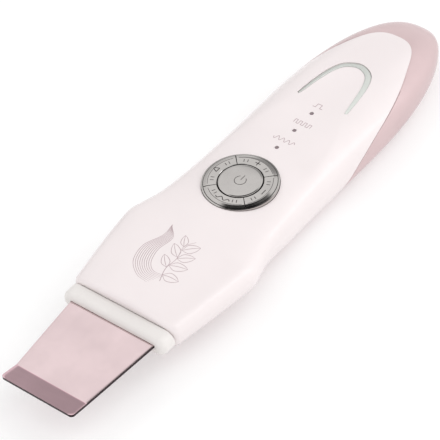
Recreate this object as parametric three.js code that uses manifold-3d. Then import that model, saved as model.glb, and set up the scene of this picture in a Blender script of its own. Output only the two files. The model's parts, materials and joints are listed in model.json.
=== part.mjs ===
// Ultrasonic skin scrubber: a hand-held, rechargeable facial spatula.
// Millimetres. +X runs from the blade to the tail, +Y across the handle, +Z out of the control face.
// The origin is on the surface that the scrubber lies on, under the middle of its length.
import * as THREE from 'three';
import { mergeVertices } from 'three/addons/utils/BufferGeometryUtils.js';
import Module from 'manifold-3d';

const wasm = await Module();
wasm.setup();

// Fits and walls
const GAP = 0.3; // clearance between neighbouring pieces
const WALL = 2; // shell thickness
const CLEAR = 5; // how far a cutting shape runs past the face that it cuts

// Housing
const NOSE_X = -58.4; // flat front of the head
const NOSE_ROUND = 2; // edge radius of that front
const CORNER_X = -26.5; // widest point of the head
const WAIST_X = 3; // end of the head, start of the handle
const TAPER_X = 44; // where the tail starts to round off
const TAIL_X = 100.3; // end of the tail
const HANDLE_HALF_WIDTH = 20.4;
const HEAD_HALF_WIDTH = 24.9;
const TOP_Z = 20; // top of the control face
const TAIL_Z = 9; // height of the tail's end
const UNDERCUT = 0.6; // how far the round belly would reach below the flat it rests on
const HANDLE_POWER = 3.3; // squareness of the upper half of a section up to the taper
const TAIL_POWER = 2.45; // and at the tail
const BELLY_POWER = 2.9; // squareness of the lower half
const TONGUE_X = 87; // rearmost point of the front shell
const ARCH_PROUD = 0.15; // how far the trim stands out of the front shell
const ARCH_DEPTH = 0.8; // how deep it is let in

// Controls
const RING_X = 0.6; // centre of the control ring
const RING_RADIUS = 12.5;
const RING_TOP_Z = 20;
const RING_WALL = 0.5;
const RING_FLANGE_RADIUS = 13.6;
const RING_FLANGE_TOP_Z = 16.6;
const RING_BASE_Z = 15.2;
const KEY_INNER_RADIUS = 7.55;
const KEY_SHOULDER_RADIUS = 10.7; // where a key's flat top starts to slope down
const KEY_OUTER_RADIUS = 11.8;
const BUTTON_RADIUS = 7.2;
const KEY_TOP_Z = 20.3;
const BUTTON_TOP_Z = 20.55;
const KEY_BASE_Z = 17.65;
const KEY_TRAVEL = 0.35;
const SWITCH_CIRCLE = 9.6; // the four outer switches lie on this radius
const MAT_TOP_Z = KEY_BASE_Z - KEY_TRAVEL - GAP;
const MAT_THICKNESS = 0.8;
const PIP_RADIUS = 1.3; // a pip under the mat pushes each switch
const SWITCH_SIDE = 4.5;
const SWITCH_HEIGHT = 2.1; // of its body above the board
const LIGHT_START_X = 19.6;
const LIGHT_PITCH = 9.35;
const LIGHT_COUNT = 3;
const LIGHT_RADIUS = 0.55;
const LIGHT_CLEARANCE = 0.15;
const LIGHT_PIPE_BASE_Z = 14.1;
const LIGHT_FLANGE_Z = 16.4; // underside of the flange that stops against the shell
const LIGHT_FLANGE_RADIUS = 1.5;
const LIGHT_TOP_Z = 19.75;

// Blade and collar
const BLADE_Z = 13.2; // middle plane of the blade at its root
const BLADE_THICKNESS = 1;
const BLADE_TANG_X = -50.9; // inner end of the blade
const BLADE_SHOULDER_X = -55.8; // where the tang widens into the plate
const BLADE_ROOT_X = -64.2; // where the plate leaves the collar
const BLADE_BEND_X = -92.7;
const BLADE_TIP_X = -99.6;
const BLADE_DROP = 0.4; // how far the bend lies below the root plane
const LIP_ANGLE = THREE.MathUtils.degToRad(10);
const BLADE_ROOT_HALF = 16.4;
const BLADE_BEND_HALF = 13.8;
const BLADE_TIP_HALF = 14;
const TANG_HALF = 3.1;
const COLLAR_Z = 12.6; // middle of the collar, a little under the blade's middle plane
const COLLAR_HALF_WIDTH = 20.2;
const COLLAR_HALF_HEIGHT = 3.4;
const COLLAR_ROUND = 2; // edge radius of its front
const SPIGOT_HALF_WIDTH = 17.5;
const SPIGOT_HALF_HEIGHT = 2.3;

// Ultrasonic stack, along the blade's middle plane
const STACK_RADIUS = 3.8;
const STACK_BORE = 1.5;
const HORN_FRONT_X = -54.4;
const HORN_BACK_X = -43.7;
const HORN_STUD_LENGTH = 4.4; // bored length that the bolt screws into
const NECK_X = -46.1; // groove of the seal ring
const NECK_HALF = 0.9;
const NECK_RADIUS = 2.85;
const PIN_X = HORN_FRONT_X + 1.9;
const PIN_RADIUS = 1;
const CERAMIC_LENGTH = 2;
const ELECTRODE_LENGTH = 0.3;
const BACK_MASS_LENGTH = 7.3;

// Circuit board
const BOARD_FRONT_X = -25;
const BOARD_BACK_X = 43;
const BOARD_HALF_WIDTH = 13;
const BOARD_Z = 11; // underside
const BOARD_THICKNESS = 1.2;
const BOARD_TOP_Z = BOARD_Z + BOARD_THICKNESS;

// Fasteners: [x, y, height of the housing's outside there]
const CASE_SCREWS = [[-45, 12.4, 5.6], [-45, -12.4, 5.6], [60, 7.5, 0], [60, -7.5, 0]];
const BOARD_SCREWS = [[-22, 10.5], [-22, -10.5]];
const CASE_SCREW_SHANK = 0.95;
const CASE_SCREW_HEAD = 2.6;
const CASE_HEAD_LOW = 0.6; // heights above the housing's outside, from here to the post
const CASE_HEAD_HIGH = 1.9;
const CASE_RECESS_DEPTH = 2.2;
const CASE_BOSS_HEIGHT = 4.4;
const CASE_SCREW_TIP = 9.6;
const CASE_BOSS_RADIUS = 3.7;
const CASE_POST_RADIUS = 2.5;
const BOARD_SCREW_SHANK = 0.75;
const BOARD_SCREW_HEAD = 1.6;
const BOARD_SCREW_TIP_Z = 15.8;
const BOARD_POST_RADIUS = 2.2;
const THREAD_ROOM = 0.1; // a plain pilot hole is this much wider than the shank

// Battery
const CELL_LOW = [7, -9, 3.2];
const CELL_HIGH = [51, 9, 9.2];
const PAD_LOW = [11, -7, 2.3];
const PAD_HIGH = [47, 7, CELL_LOW[2] - GAP];

// Charging socket, a flat metal receptacle on a small board of its own
const SOCKET_LOW = [91, -3.75, 7.8];
const SOCKET_HIGH = [96.8, 3.75, 10.4];
const SOCKET_Z = (SOCKET_LOW[2] + SOCKET_HIGH[2]) / 2;
const PORT_HALF_HEIGHT = 1.7;
const SOCKET_WALL = 0.35;
const SOCKET_BOARD_LOW = [82, -5, 6.7];
const SOCKET_BOARD_HIGH = [94.5, 5, SOCKET_LOW[2] - GAP];

const scrubber = new THREE.Group();

// ---------------------------------------------------------------- shared shape tools

// Smooth curve through [x, value] points, as a function of x.
function through(points) {
  const slopeAt = (i) => {
    const before = points[Math.max(i - 1, 0)];
    const after = points[Math.min(i + 1, points.length - 1)];
    return (after[1] - before[1]) / (after[0] - before[0]);
  };
  return (x) => {
    const last = points.length - 2;
    let i = 0;
    while (i < last && x > points[i + 1][0]) i += 1;
    const [x0, v0] = points[i];
    const [x1, v1] = points[i + 1];
    const span = x1 - x0;
    const t = THREE.MathUtils.clamp((x - x0) / span, 0, 1);
    const rise = v1 - v0;
    const bend0 = slopeAt(i) * span - rise;
    const bend1 = rise - slopeAt(i + 1) * span;
    return v0 + rise * t + t * (1 - t) * ((1 - t) * bend0 + t * bend1);
  };
}

// Solid from a closed geometry, with shared vertices merged and collapsed triangles dropped.
function toSolid(geometry) {
  const bare = geometry.clone();
  bare.deleteAttribute('normal');
  bare.deleteAttribute('uv');
  const merged = mergeVertices(bare);
  const triVerts = [];
  for (let i = 0; i < merged.index.count; i += 3) {
    const [a, b, c] = [0, 1, 2].map((k) => merged.index.getX(i + k));
    if (a !== b && b !== c && c !== a) triVerts.push(a, b, c);
  }
  const mesh = new wasm.Mesh({
    numProp: 3,
    vertProperties: new Float32Array(merged.attributes.position.array),
    triVerts: new Uint32Array(triVerts),
  });
  return new wasm.Manifold(mesh);
}

function toGeometry(solid) {
  const mesh = solid.getMesh();
  const geometry = new THREE.BufferGeometry();
  geometry.setAttribute('position', new THREE.BufferAttribute(mesh.vertProperties, 3));
  geometry.setIndex(new THREE.BufferAttribute(mesh.triVerts, 1));
  geometry.computeVertexNormals();
  return geometry;
}

// Closed skin over rings of points that run from low x to high x, each turning from +Y towards +Z.
function loft(rings) {
  const count = rings[0].length;
  const positions = rings.flat().flatMap((point) => point);
  const index = [];
  for (let r = 0; r < rings.length - 1; r += 1) {
    for (let i = 0; i < count; i += 1) {
      const a = r * count + i;
      const b = r * count + ((i + 1) % count);
      index.push(a, b, a + count, b, b + count, a + count);
    }
  }
  const addCap = (ring, start, forward) => {
    const centre = positions.length / 3;
    const sum = ring.reduce((total, point) => total.map((value, k) => value + point[k]), [0, 0, 0]);
    positions.push(...sum.map((value) => value / count));
    for (let i = 0; i < count; i += 1) {
      const a = start + i;
      const b = start + ((i + 1) % count);
      index.push(centre, ...(forward ? [a, b] : [b, a]));
    }
  };
  addCap(rings[0], 0, false);
  addCap(rings[rings.length - 1], (rings.length - 1) * count, true);
  const geometry = new THREE.BufferGeometry();
  geometry.setAttribute('position', new THREE.Float32BufferAttribute(positions, 3));
  geometry.setIndex(index);
  return geometry;
}

// Prism standing on a plan outline (x, y).
function extrudeUp(shape, low, high, curveSegments = 6) {
  const settings = { depth: high - low, bevelEnabled: false, curveSegments };
  return new THREE.ExtrudeGeometry(shape, settings).translate(0, 0, low);
}

// Prism along X from a front outline (y, z), with its end edges rounded.
function extrudeAlongX(shape, low, high, round = 0, curveSegments = 8) {
  const settings = {
    depth: high - low - 2 * round,
    bevelEnabled: round > 0,
    bevelThickness: round,
    bevelSize: round,
    bevelOffset: -round,
    bevelSegments: 3,
    curveSegments,
  };
  const toRow = new THREE.Matrix4().makeBasis(
    new THREE.Vector3(0, 1, 0), new THREE.Vector3(0, 0, 1), new THREE.Vector3(1, 0, 0),
  );
  return new THREE.ExtrudeGeometry(shape, settings).applyMatrix4(toRow).translate(low + round, 0, 0);
}

// Prism across Y from a side outline (x, z).
function extrudeAcross(shape, halfWidth) {
  const toRow = new THREE.Matrix4().makeBasis(
    new THREE.Vector3(1, 0, 0), new THREE.Vector3(0, 0, 1), new THREE.Vector3(0, -1, 0),
  );
  const prism = new THREE.ExtrudeGeometry(shape, { depth: 2 * halfWidth, bevelEnabled: false });
  return prism.applyMatrix4(toRow).translate(0, halfWidth, 0);
}

// Turned piece about the Z axis from a closed [radius, z] profile that goes up its outside.
function turned(profile, sides = 16) {
  const points = profile.map(([radius, z]) => new THREE.Vector2(radius, z));
  return new THREE.LatheGeometry([...points, points[0]], sides).rotateX(Math.PI / 2);
}

function cylinder(radius, low, high, sides = 16) {
  return turned([[0, low], [radius, low], [radius, high], [0, high]], sides);
}

function tube(inner, outer, low, high, sides = 16) {
  return turned([[inner, low], [outer, low], [outer, high], [inner, high]], sides);
}

// Lays a piece made about the Z axis along X, on the blade's middle plane.
function layOnStack(geometry) {
  return geometry.rotateY(Math.PI / 2).translate(0, 0, BLADE_Z);
}

function box(low, high) {
  const size = high.map((value, k) => value - low[k]);
  const middle = high.map((value, k) => (value + low[k]) / 2);
  return new THREE.BoxGeometry(...size).translate(...middle);
}

function shapeThrough(corners) {
  return new THREE.Shape(corners.map(([u, v]) => new THREE.Vector2(u, v)));
}

// Slot outline with round ends, centred on (0, height).
function pill(halfWidth, halfHeight, height) {
  const shape = new THREE.Shape();
  const straight = halfWidth - halfHeight;
  shape.absarc(straight, height, halfHeight, -Math.PI / 2, Math.PI / 2, false);
  shape.absarc(-straight, height, halfHeight, Math.PI / 2, 1.5 * Math.PI, false);
  return shape;
}

function roundedRectangle(low, high, radius) {
  const shape = new THREE.Shape();
  const quarter = Math.PI / 2;
  shape.absarc(high[0] - radius, low[1] + radius, radius, -quarter, 0, false);
  shape.absarc(high[0] - radius, high[1] - radius, radius, 0, quarter, false);
  shape.absarc(low[0] + radius, high[1] - radius, radius, quarter, 2 * quarter, false);
  shape.absarc(low[0] + radius, low[1] + radius, radius, 2 * quarter, 3 * quarter, false);
  return shape;
}

function addPart(name, geometry, [color, roughness, metalness], place = [0, 0, 0]) {
  const material = new THREE.MeshStandardMaterial({ color, roughness, metalness });
  const mesh = new THREE.Mesh(geometry, material);
  mesh.name = name;
  mesh.position.set(...place);
  scrubber.add(mesh);
}

// Finishes: colour, roughness, metalness
const PEARL_WHITE = [0xf3e6e7, 0.25, 0];
const PEARL_PINK = [0xd9bdc1, 0.22, 0.1];
const SOFT_GREY = [0xded6d4, 0.5, 0];
const ROSE_STEEL = [0xd8b9bd, 0.12, 1];
const SATIN_SILVER = [0xd0d4cf, 0.3, 1];
const CHROME = [0xd5d3d3, 0.08, 1];
const SILICONE = [0xe6e4e0, 0.7, 0];
const LENS = [0x5a4a4d, 0.3, 0];
const STEEL = [0xb9bcc0, 0.3, 1];
const BRASS = [0xc9a560, 0.3, 1];
const CERAMIC = [0xe9e2cf, 0.5, 0];
const BOARD_GREEN = [0x1f6a45, 0.5, 0];
const BLACK_PLASTIC = [0x1c1c1e, 0.5, 0];
const CELL_FILM = [0xbfc3c9, 0.35, 0.6];
const FOAM = [0x35353a, 0.9, 0];
const RED_WIRE = [0xb5232a, 0.5, 0];
const BLACK_WIRE = [0x18181a, 0.5, 0];
const YELLOW_WIRE = [0xd9b430, 0.5, 0];

// ---------------------------------------------------------------- housing surface

const plainHalfWidth = through([
  [NOSE_X, 20.3], [-41, 23.2], [CORNER_X - 1.5, HEAD_HALF_WIDTH], [CORNER_X + 1.5, HEAD_HALF_WIDTH],
  [-14.5, 21.8], [-4.5, 20.8], [11, 20.2], [TAPER_X, HANDLE_HALF_WIDTH],
]);
const plainTop = through([[NOSE_X, 19.1], [CORNER_X, TOP_Z], [WAIST_X, TOP_Z], [TAPER_X, TOP_Z - 0.2]]);
const plainBelly = through([
  [NOSE_X, 5.6], [CORNER_X, 4.5], [-12, 1.6], [WAIST_X, -UNDERCUT], [TAPER_X, -UNDERCUT],
]);
const middle = through([[NOSE_X, 12.9], [CORNER_X, 13], [WAIST_X, 10.9], [TAPER_X, 9.2], [TAIL_X, TAIL_Z]]);
const topPower = through([[TAPER_X, HANDLE_POWER], [TAIL_X, TAIL_POWER]]);
const seam = through([
  [NOSE_X, 8.9], [CORNER_X, 7.6], [0, 4], [14, 3.4], [26, 4.7], [36, 9.8],
  [44, 13.3], [56, 15.7], [72, 17], [TONGUE_X, 16.3],
]);

// Share of the full size that is left at x as the tail rounds off.
function tailShare(x, power, root) {
  const along = THREE.MathUtils.clamp((x - TAPER_X) / (TAIL_X - TAPER_X), 0, 1);
  return (1 - along ** power) ** root;
}

const halfWidth = (x) => plainHalfWidth(x) * tailShare(x, 2.2, 0.42);
const topHeight = (x) => TAIL_Z + (plainTop(x) - TAIL_Z) * tailShare(x, 2.4, 0.53);
const bellyHeight = (x) => TAIL_Z - (TAIL_Z - plainBelly(x)) * tailShare(x, 2.8, 0.51);

// One closed section of the housing, moved inwards by inset.
function housingSection(x, inset, noseX, points = 24) {
  const intoNose = Math.max(NOSE_ROUND - (x - noseX), 0);
  const shrink = inset + NOSE_ROUND - Math.sqrt(NOSE_ROUND ** 2 - intoNose ** 2);
  const centre = middle(x);
  const across = halfWidth(x) - shrink;
  const up = topHeight(x) - shrink - centre;
  const down = centre - bellyHeight(x) - shrink;
  const ring = [];
  for (let i = 0; i < points; i += 1) {
    const angle = (2 * Math.PI * i) / points;
    const c = Math.cos(angle);
    const s = Math.sin(angle);
    const power = 2 / (s > 0 ? topPower(x) : BELLY_POWER);
    const y = across * Math.sign(c) * Math.abs(c) ** power;
    const z = centre + (s > 0 ? up : down) * Math.sign(s) * Math.abs(s) ** power;
    ring.push([x, y, Math.max(z, inset)]);
  }
  return ring;
}

// The whole housing as one solid, moved inwards by inset.
function housing(inset) {
  const noseX = NOSE_X + inset;
  const tailX = TAIL_X - 1.3 * inset;
  const stations = [];
  const roundSteps = 3;
  for (let i = 0; i < roundSteps; i += 1) {
    stations.push(noseX + NOSE_ROUND * (1 - Math.cos((Math.PI / 2) * (i / roundSteps))));
  }
  const headSteps = 12;
  for (let i = 0; i <= headSteps; i += 1) {
    stations.push(THREE.MathUtils.lerp(noseX + NOSE_ROUND, WAIST_X, i / headSteps));
  }
  stations.push(THREE.MathUtils.lerp(WAIST_X, TAPER_X, 0.4), TAPER_X);
  const tailSteps = 10;
  const lastShare = 0.97;
  for (let i = 1; i <= tailSteps; i += 1) {
    const along = Math.sin((Math.PI / 2) * (i / tailSteps) * lastShare);
    stations.push(THREE.MathUtils.lerp(TAPER_X, tailX, along));
  }
  return toSolid(loft(stations.map((x) => housingSection(x, inset, noseX))));
}

// Everything above the parting line, with the line moved up and forwards by offset.
function aboveSeam(offset) {
  const outline = [];
  const steps = 32;
  const startX = NOSE_X - 5;
  const endX = TONGUE_X - offset;
  for (let i = 0; i <= steps; i += 1) {
    const x = THREE.MathUtils.lerp(startX, endX, i / steps);
    outline.push([x, seam(Math.max(x, NOSE_X)) + offset]);
  }
  const clear = TOP_Z + 10;
  outline.push([endX, clear], [startX, clear]);
  return toSolid(extrudeAcross(shapeThrough(outline), HEAD_HALF_WIDTH + 5));
}

// ---------------------------------------------------------------- trim arch outline

// Plan outline of the arch, open towards the blade: thin at its two ends, thick at its bow, widened by grow.
function archOutline(grow) {
  const leg = [[43.8, 9.5], [52, 8.4], [58.6, 7], [63, 4.6]];
  const bow = [65.05, 0];
  const route = [...leg, bow, ...leg.map(([x, y]) => [x, -y]).reverse()];
  const line = new THREE.SplineCurve(route.map(([x, y]) => new THREE.Vector2(x, y)));
  const steps = 24;
  const endHalfWidth = 0.35;
  const bowExtraHalfWidth = 0.85;
  const leftSide = [];
  const rightSide = [];
  for (let i = 0; i <= steps; i += 1) {
    const along = i / steps;
    const forward = line.getTangent(along);
    const share = 1 - Math.abs(2 * along - 1);
    const half = endHalfWidth + bowExtraHalfWidth * Math.sqrt(share) + grow;
    const overrun = grow * (Number(i === steps) - Number(i === 0));
    const point = line.getPoint(along).addScaledVector(forward, overrun);
    leftSide.push([point.x - forward.y * half, point.y + forward.x * half]);
    rightSide.push([point.x + forward.y * half, point.y - forward.x * half]);
  }
  return shapeThrough([...leftSide, ...rightSide.reverse()]);
}

// ---------------------------------------------------------------- housing pieces

function addHousing() {
  const outside = housing(0);
  const skin = outside.subtract(housing(WALL));
  let front = skin.intersect(aboveSeam(GAP / 2));
  let rear = skin.subtract(aboveSeam(-GAP / 2));

  const keepInside = housing(WALL / 2);
  for (const [x, y, base] of CASE_SCREWS) {
    const column = (radius, low, high) => toSolid(cylinder(radius, low, high).translate(x, y, base));
    const boss = column(CASE_BOSS_RADIUS, -1, CASE_BOSS_HEIGHT).intersect(outside);
    const recess = column(CASE_SCREW_HEAD + GAP, -CLEAR, CASE_RECESS_DEPTH);
    const clearance = column(CASE_SCREW_SHANK + GAP, 0, CASE_BOSS_HEIGHT + 1);
    rear = rear.add(boss).subtract(recess).subtract(clearance);
    const post = column(CASE_POST_RADIUS, CASE_BOSS_HEIGHT + GAP, TOP_Z).intersect(keepInside);
    front = front.add(post).subtract(column(CASE_SCREW_SHANK + THREAD_ROOM, 0, CASE_SCREW_TIP + 2 * GAP));
  }
  for (const [x, y] of BOARD_SCREWS) {
    const column = (radius, low, high) => toSolid(cylinder(radius, low, high).translate(x, y, 0));
    const post = column(BOARD_POST_RADIUS, BOARD_TOP_Z + GAP, TOP_Z).intersect(keepInside);
    const pilot = column(BOARD_SCREW_SHANK + THREAD_ROOM, 0, BOARD_SCREW_TIP_Z + GAP);
    front = front.add(post).subtract(pilot);
  }

  const holes = [[RING_X, RING_RADIUS + GAP, 48]];
  for (let i = 0; i < LIGHT_COUNT; i += 1) {
    holes.push([LIGHT_START_X + i * LIGHT_PITCH, LIGHT_RADIUS + LIGHT_CLEARANCE, 16]);
  }
  for (const [x, radius, sides] of holes) {
    front = front.subtract(toSolid(cylinder(radius, TOP_Z - CLEAR, TOP_Z + CLEAR, sides).translate(x, 0, 0)));
  }
  const mouth = pill(SPIGOT_HALF_WIDTH + GAP, SPIGOT_HALF_HEIGHT + GAP, BLADE_Z);
  front = front.subtract(toSolid(extrudeAlongX(mouth, NOSE_X - CLEAR, NOSE_X + WALL + 1)));
  const channel = toSolid(extrudeUp(archOutline(GAP), BOARD_Z, TOP_Z + CLEAR));
  front = front.subtract(channel.subtract(housing(ARCH_DEPTH + GAP)));

  const port = pill(SOCKET_HIGH[1] + GAP, PORT_HALF_HEIGHT, SOCKET_Z);
  rear = rear.subtract(toSolid(extrudeAlongX(port, SOCKET_HIGH[0] - 2, TAIL_X + CLEAR, 0, 3)));

  addPart('front_shell', toGeometry(front), PEARL_WHITE);
  addPart('rear_shell', toGeometry(rear), PEARL_PINK);
}

function addTrim() {
  const strip = toSolid(extrudeUp(archOutline(0), BOARD_Z, TOP_Z + CLEAR));
  const arch = strip.intersect(housing(-ARCH_PROUD)).subtract(housing(ARCH_DEPTH));
  addPart('trim_arch', toGeometry(arch), SATIN_SILVER);
}

// ---------------------------------------------------------------- blade and collar

// Side profile of the blade's middle line, from the tang to the tip.
function bladeLine() {
  const bendRadius = 4;
  const tangent = bendRadius * Math.tan(LIP_ANGLE / 2);
  const bendZ = BLADE_Z - BLADE_DROP;
  const line = [[BLADE_TANG_X, BLADE_Z], [BLADE_ROOT_X, BLADE_Z], [BLADE_BEND_X + tangent, bendZ]];
  const arcSteps = 3;
  for (let i = 1; i <= arcSteps; i += 1) {
    const angle = (LIP_ANGLE * i) / arcSteps;
    const x = BLADE_BEND_X + tangent - bendRadius * Math.sin(angle);
    line.push([x, bendZ + bendRadius * (1 - Math.cos(angle))]);
  }
  const tipRise = (BLADE_BEND_X - BLADE_TIP_X) * Math.tan(LIP_ANGLE);
  line.push([BLADE_TIP_X, bendZ + tipRise]);
  return line;
}

// The hole for the cross pin that holds the blade in the horn.
function pinHole() {
  return toSolid(cylinder(PIN_RADIUS + GAP, BLADE_Z - CLEAR, BLADE_Z + CLEAR).translate(PIN_X, 0, 0));
}

function addBlade() {
  const line = bladeLine();
  const half = BLADE_THICKNESS / 2;
  const above = line.map(([x, z]) => [x, z + half]);
  const below = line.map(([x, z]) => [x, z - half]).reverse();
  const side = toSolid(extrudeAcross(shapeThrough([...above, ...below]), COLLAR_HALF_WIDTH));

  const cornerRadius = 1.2;
  const plan = new THREE.Shape();
  plan.moveTo(BLADE_TANG_X, -TANG_HALF);
  plan.lineTo(BLADE_TANG_X, TANG_HALF);
  plan.lineTo(BLADE_SHOULDER_X, TANG_HALF);
  plan.lineTo(BLADE_SHOULDER_X, BLADE_ROOT_HALF);
  plan.lineTo(BLADE_ROOT_X, BLADE_ROOT_HALF);
  plan.lineTo(BLADE_BEND_X, BLADE_BEND_HALF);
  plan.lineTo(BLADE_TIP_X + cornerRadius, BLADE_TIP_HALF);
  plan.quadraticCurveTo(BLADE_TIP_X, BLADE_TIP_HALF, BLADE_TIP_X, BLADE_TIP_HALF - cornerRadius);
  plan.lineTo(BLADE_TIP_X, cornerRadius - BLADE_TIP_HALF);
  plan.quadraticCurveTo(BLADE_TIP_X, -BLADE_TIP_HALF, BLADE_TIP_X + cornerRadius, -BLADE_TIP_HALF);
  plan.lineTo(BLADE_BEND_X, -BLADE_BEND_HALF);
  plan.lineTo(BLADE_ROOT_X, -BLADE_ROOT_HALF);
  plan.lineTo(BLADE_SHOULDER_X, -BLADE_ROOT_HALF);
  plan.lineTo(BLADE_SHOULDER_X, -TANG_HALF);
  const plate = toSolid(extrudeUp(plan, BLADE_Z - CLEAR, BLADE_Z + CLEAR));
  addPart('scraper_blade', toGeometry(side.intersect(plate).subtract(pinHole())), ROSE_STEEL);
  const pinHalf = STACK_RADIUS - 0.6;
  addPart('blade_pin', cylinder(PIN_RADIUS, BLADE_Z - pinHalf, BLADE_Z + pinHalf), STEEL, [PIN_X, 0, 0]);
}

function addCollar() {
  const frontX = BLADE_ROOT_X;
  const backX = NOSE_X - GAP;
  const ringShape = pill(COLLAR_HALF_WIDTH, COLLAR_HALF_HEIGHT, COLLAR_Z);
  const ring = toSolid(extrudeAlongX(ringShape, frontX, backX, COLLAR_ROUND));
  const spigotShape = pill(SPIGOT_HALF_WIDTH, SPIGOT_HALF_HEIGHT, BLADE_Z);
  const spigot = toSolid(extrudeAlongX(spigotShape, backX - 1, NOSE_X + WALL + 0.4));
  const slot = box(
    [frontX - 1, -BLADE_ROOT_HALF - GAP, BLADE_Z - BLADE_THICKNESS / 2 - GAP],
    [NOSE_X + WALL + 1, BLADE_ROOT_HALF + GAP, BLADE_Z + BLADE_THICKNESS / 2 + GAP],
  );
  addPart('head_collar', toGeometry(ring.add(spigot).subtract(toSolid(slot))), SOFT_GREY);
}

// ---------------------------------------------------------------- controls

// One of the four ring keys, centred on the direction angle.
function keySector(angle) {
  const halfSlit = 0.2;
  const reach = (radius) => Math.PI / 4 - Math.asin(halfSlit / radius);
  const shape = new THREE.Shape();
  const outer = reach(KEY_OUTER_RADIUS);
  const inner = reach(KEY_INNER_RADIUS);
  shape.absarc(0, 0, KEY_OUTER_RADIUS, angle - outer, angle + outer, false);
  shape.absarc(0, 0, KEY_INNER_RADIUS, angle + inner, angle - inner, true);
  const block = toSolid(extrudeUp(shape, KEY_BASE_Z, KEY_TOP_Z, 10));
  const crown = turned([
    [0, KEY_BASE_Z - 1], [KEY_OUTER_RADIUS + 1, KEY_BASE_Z - 1], [KEY_OUTER_RADIUS + 1, RING_TOP_Z - 0.3],
    [KEY_OUTER_RADIUS, RING_TOP_Z], [KEY_SHOULDER_RADIUS, KEY_TOP_Z], [0, KEY_TOP_Z],
  ], 48);
  return toGeometry(block.intersect(toSolid(crown)));
}

function addControls() {
  const centre = [RING_X, 0, 0];
  const bezel = turned([
    [RING_RADIUS - RING_WALL, RING_BASE_Z], [RING_FLANGE_RADIUS, RING_BASE_Z],
    [RING_FLANGE_RADIUS, RING_FLANGE_TOP_Z], [RING_RADIUS, RING_FLANGE_TOP_Z],
    [RING_RADIUS, RING_TOP_Z - 0.2], [RING_RADIUS - RING_WALL, RING_TOP_Z],
  ], 48);
  addPart('control_bezel', bezel, CHROME, centre);

  const keys = { key_head: Math.PI, key_tail: 0, key_left: Math.PI / 2, key_right: -Math.PI / 2 };
  for (const [name, angle] of Object.entries(keys)) {
    addPart(name, keySector(angle), CHROME, centre);
  }
  const button = turned([
    [0, KEY_BASE_Z], [BUTTON_RADIUS, KEY_BASE_Z], [BUTTON_RADIUS, KEY_TOP_Z],
    [BUTTON_RADIUS - 0.3, KEY_TOP_Z + 0.1], [BUTTON_RADIUS / 2, BUTTON_TOP_Z - 0.05], [0, BUTTON_TOP_Z],
  ], 40);
  addPart('centre_button', button, CHROME, centre);

  const spots = [[0, 0], ...Object.values(keys).map((angle) => [
    SWITCH_CIRCLE * Math.cos(angle), SWITCH_CIRCLE * Math.sin(angle),
  ])];
  const pipBase = MAT_TOP_Z - 2 * MAT_THICKNESS;
  let mat = toSolid(cylinder(KEY_OUTER_RADIUS, MAT_TOP_Z - MAT_THICKNESS, MAT_TOP_Z, 40));
  for (const [x, y] of spots) {
    const pip = cylinder(PIP_RADIUS, pipBase, MAT_TOP_Z - MAT_THICKNESS / 2, 12);
    mat = mat.add(toSolid(pip.translate(x, y, 0)));
  }
  addPart('key_mat', toGeometry(mat), SILICONE, centre);

  const bodyTop = BOARD_TOP_Z + SWITCH_HEIGHT;
  spots.forEach(([x, y], i) => {
    const half = SWITCH_SIDE / 2;
    const can = toSolid(box([-half, -half, BOARD_TOP_Z + GAP], [half, half, bodyTop]));
    const plunger = toSolid(cylinder(PIP_RADIUS - 0.1, bodyTop - 0.5, pipBase - GAP, 12));
    addPart(`tact_switch_${i + 1}`, toGeometry(can.add(plunger)), BLACK_PLASTIC, [RING_X + x, y, 0]);
  });
}

function addLights() {
  for (let i = 0; i < LIGHT_COUNT; i += 1) {
    const place = [LIGHT_START_X + i * LIGHT_PITCH, 0, 0];
    const pipe = turned([
      [0, LIGHT_PIPE_BASE_Z], [LIGHT_RADIUS, LIGHT_PIPE_BASE_Z],
      [LIGHT_RADIUS, LIGHT_FLANGE_Z], [LIGHT_FLANGE_RADIUS, LIGHT_FLANGE_Z],
      [LIGHT_FLANGE_RADIUS, LIGHT_FLANGE_Z + 1], [LIGHT_RADIUS, LIGHT_FLANGE_Z + 1],
      [LIGHT_RADIUS, LIGHT_TOP_Z], [0, LIGHT_TOP_Z],
    ], 12);
    addPart(`light_pipe_${i + 1}`, pipe, LENS, place);
    const lamp = box([-0.6, -1, BOARD_TOP_Z + GAP], [0.6, 1, 13.6]);
    addPart(`status_led_${i + 1}`, lamp, CERAMIC, place);
  }
}

// ---------------------------------------------------------------- ultrasonic stack

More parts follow.
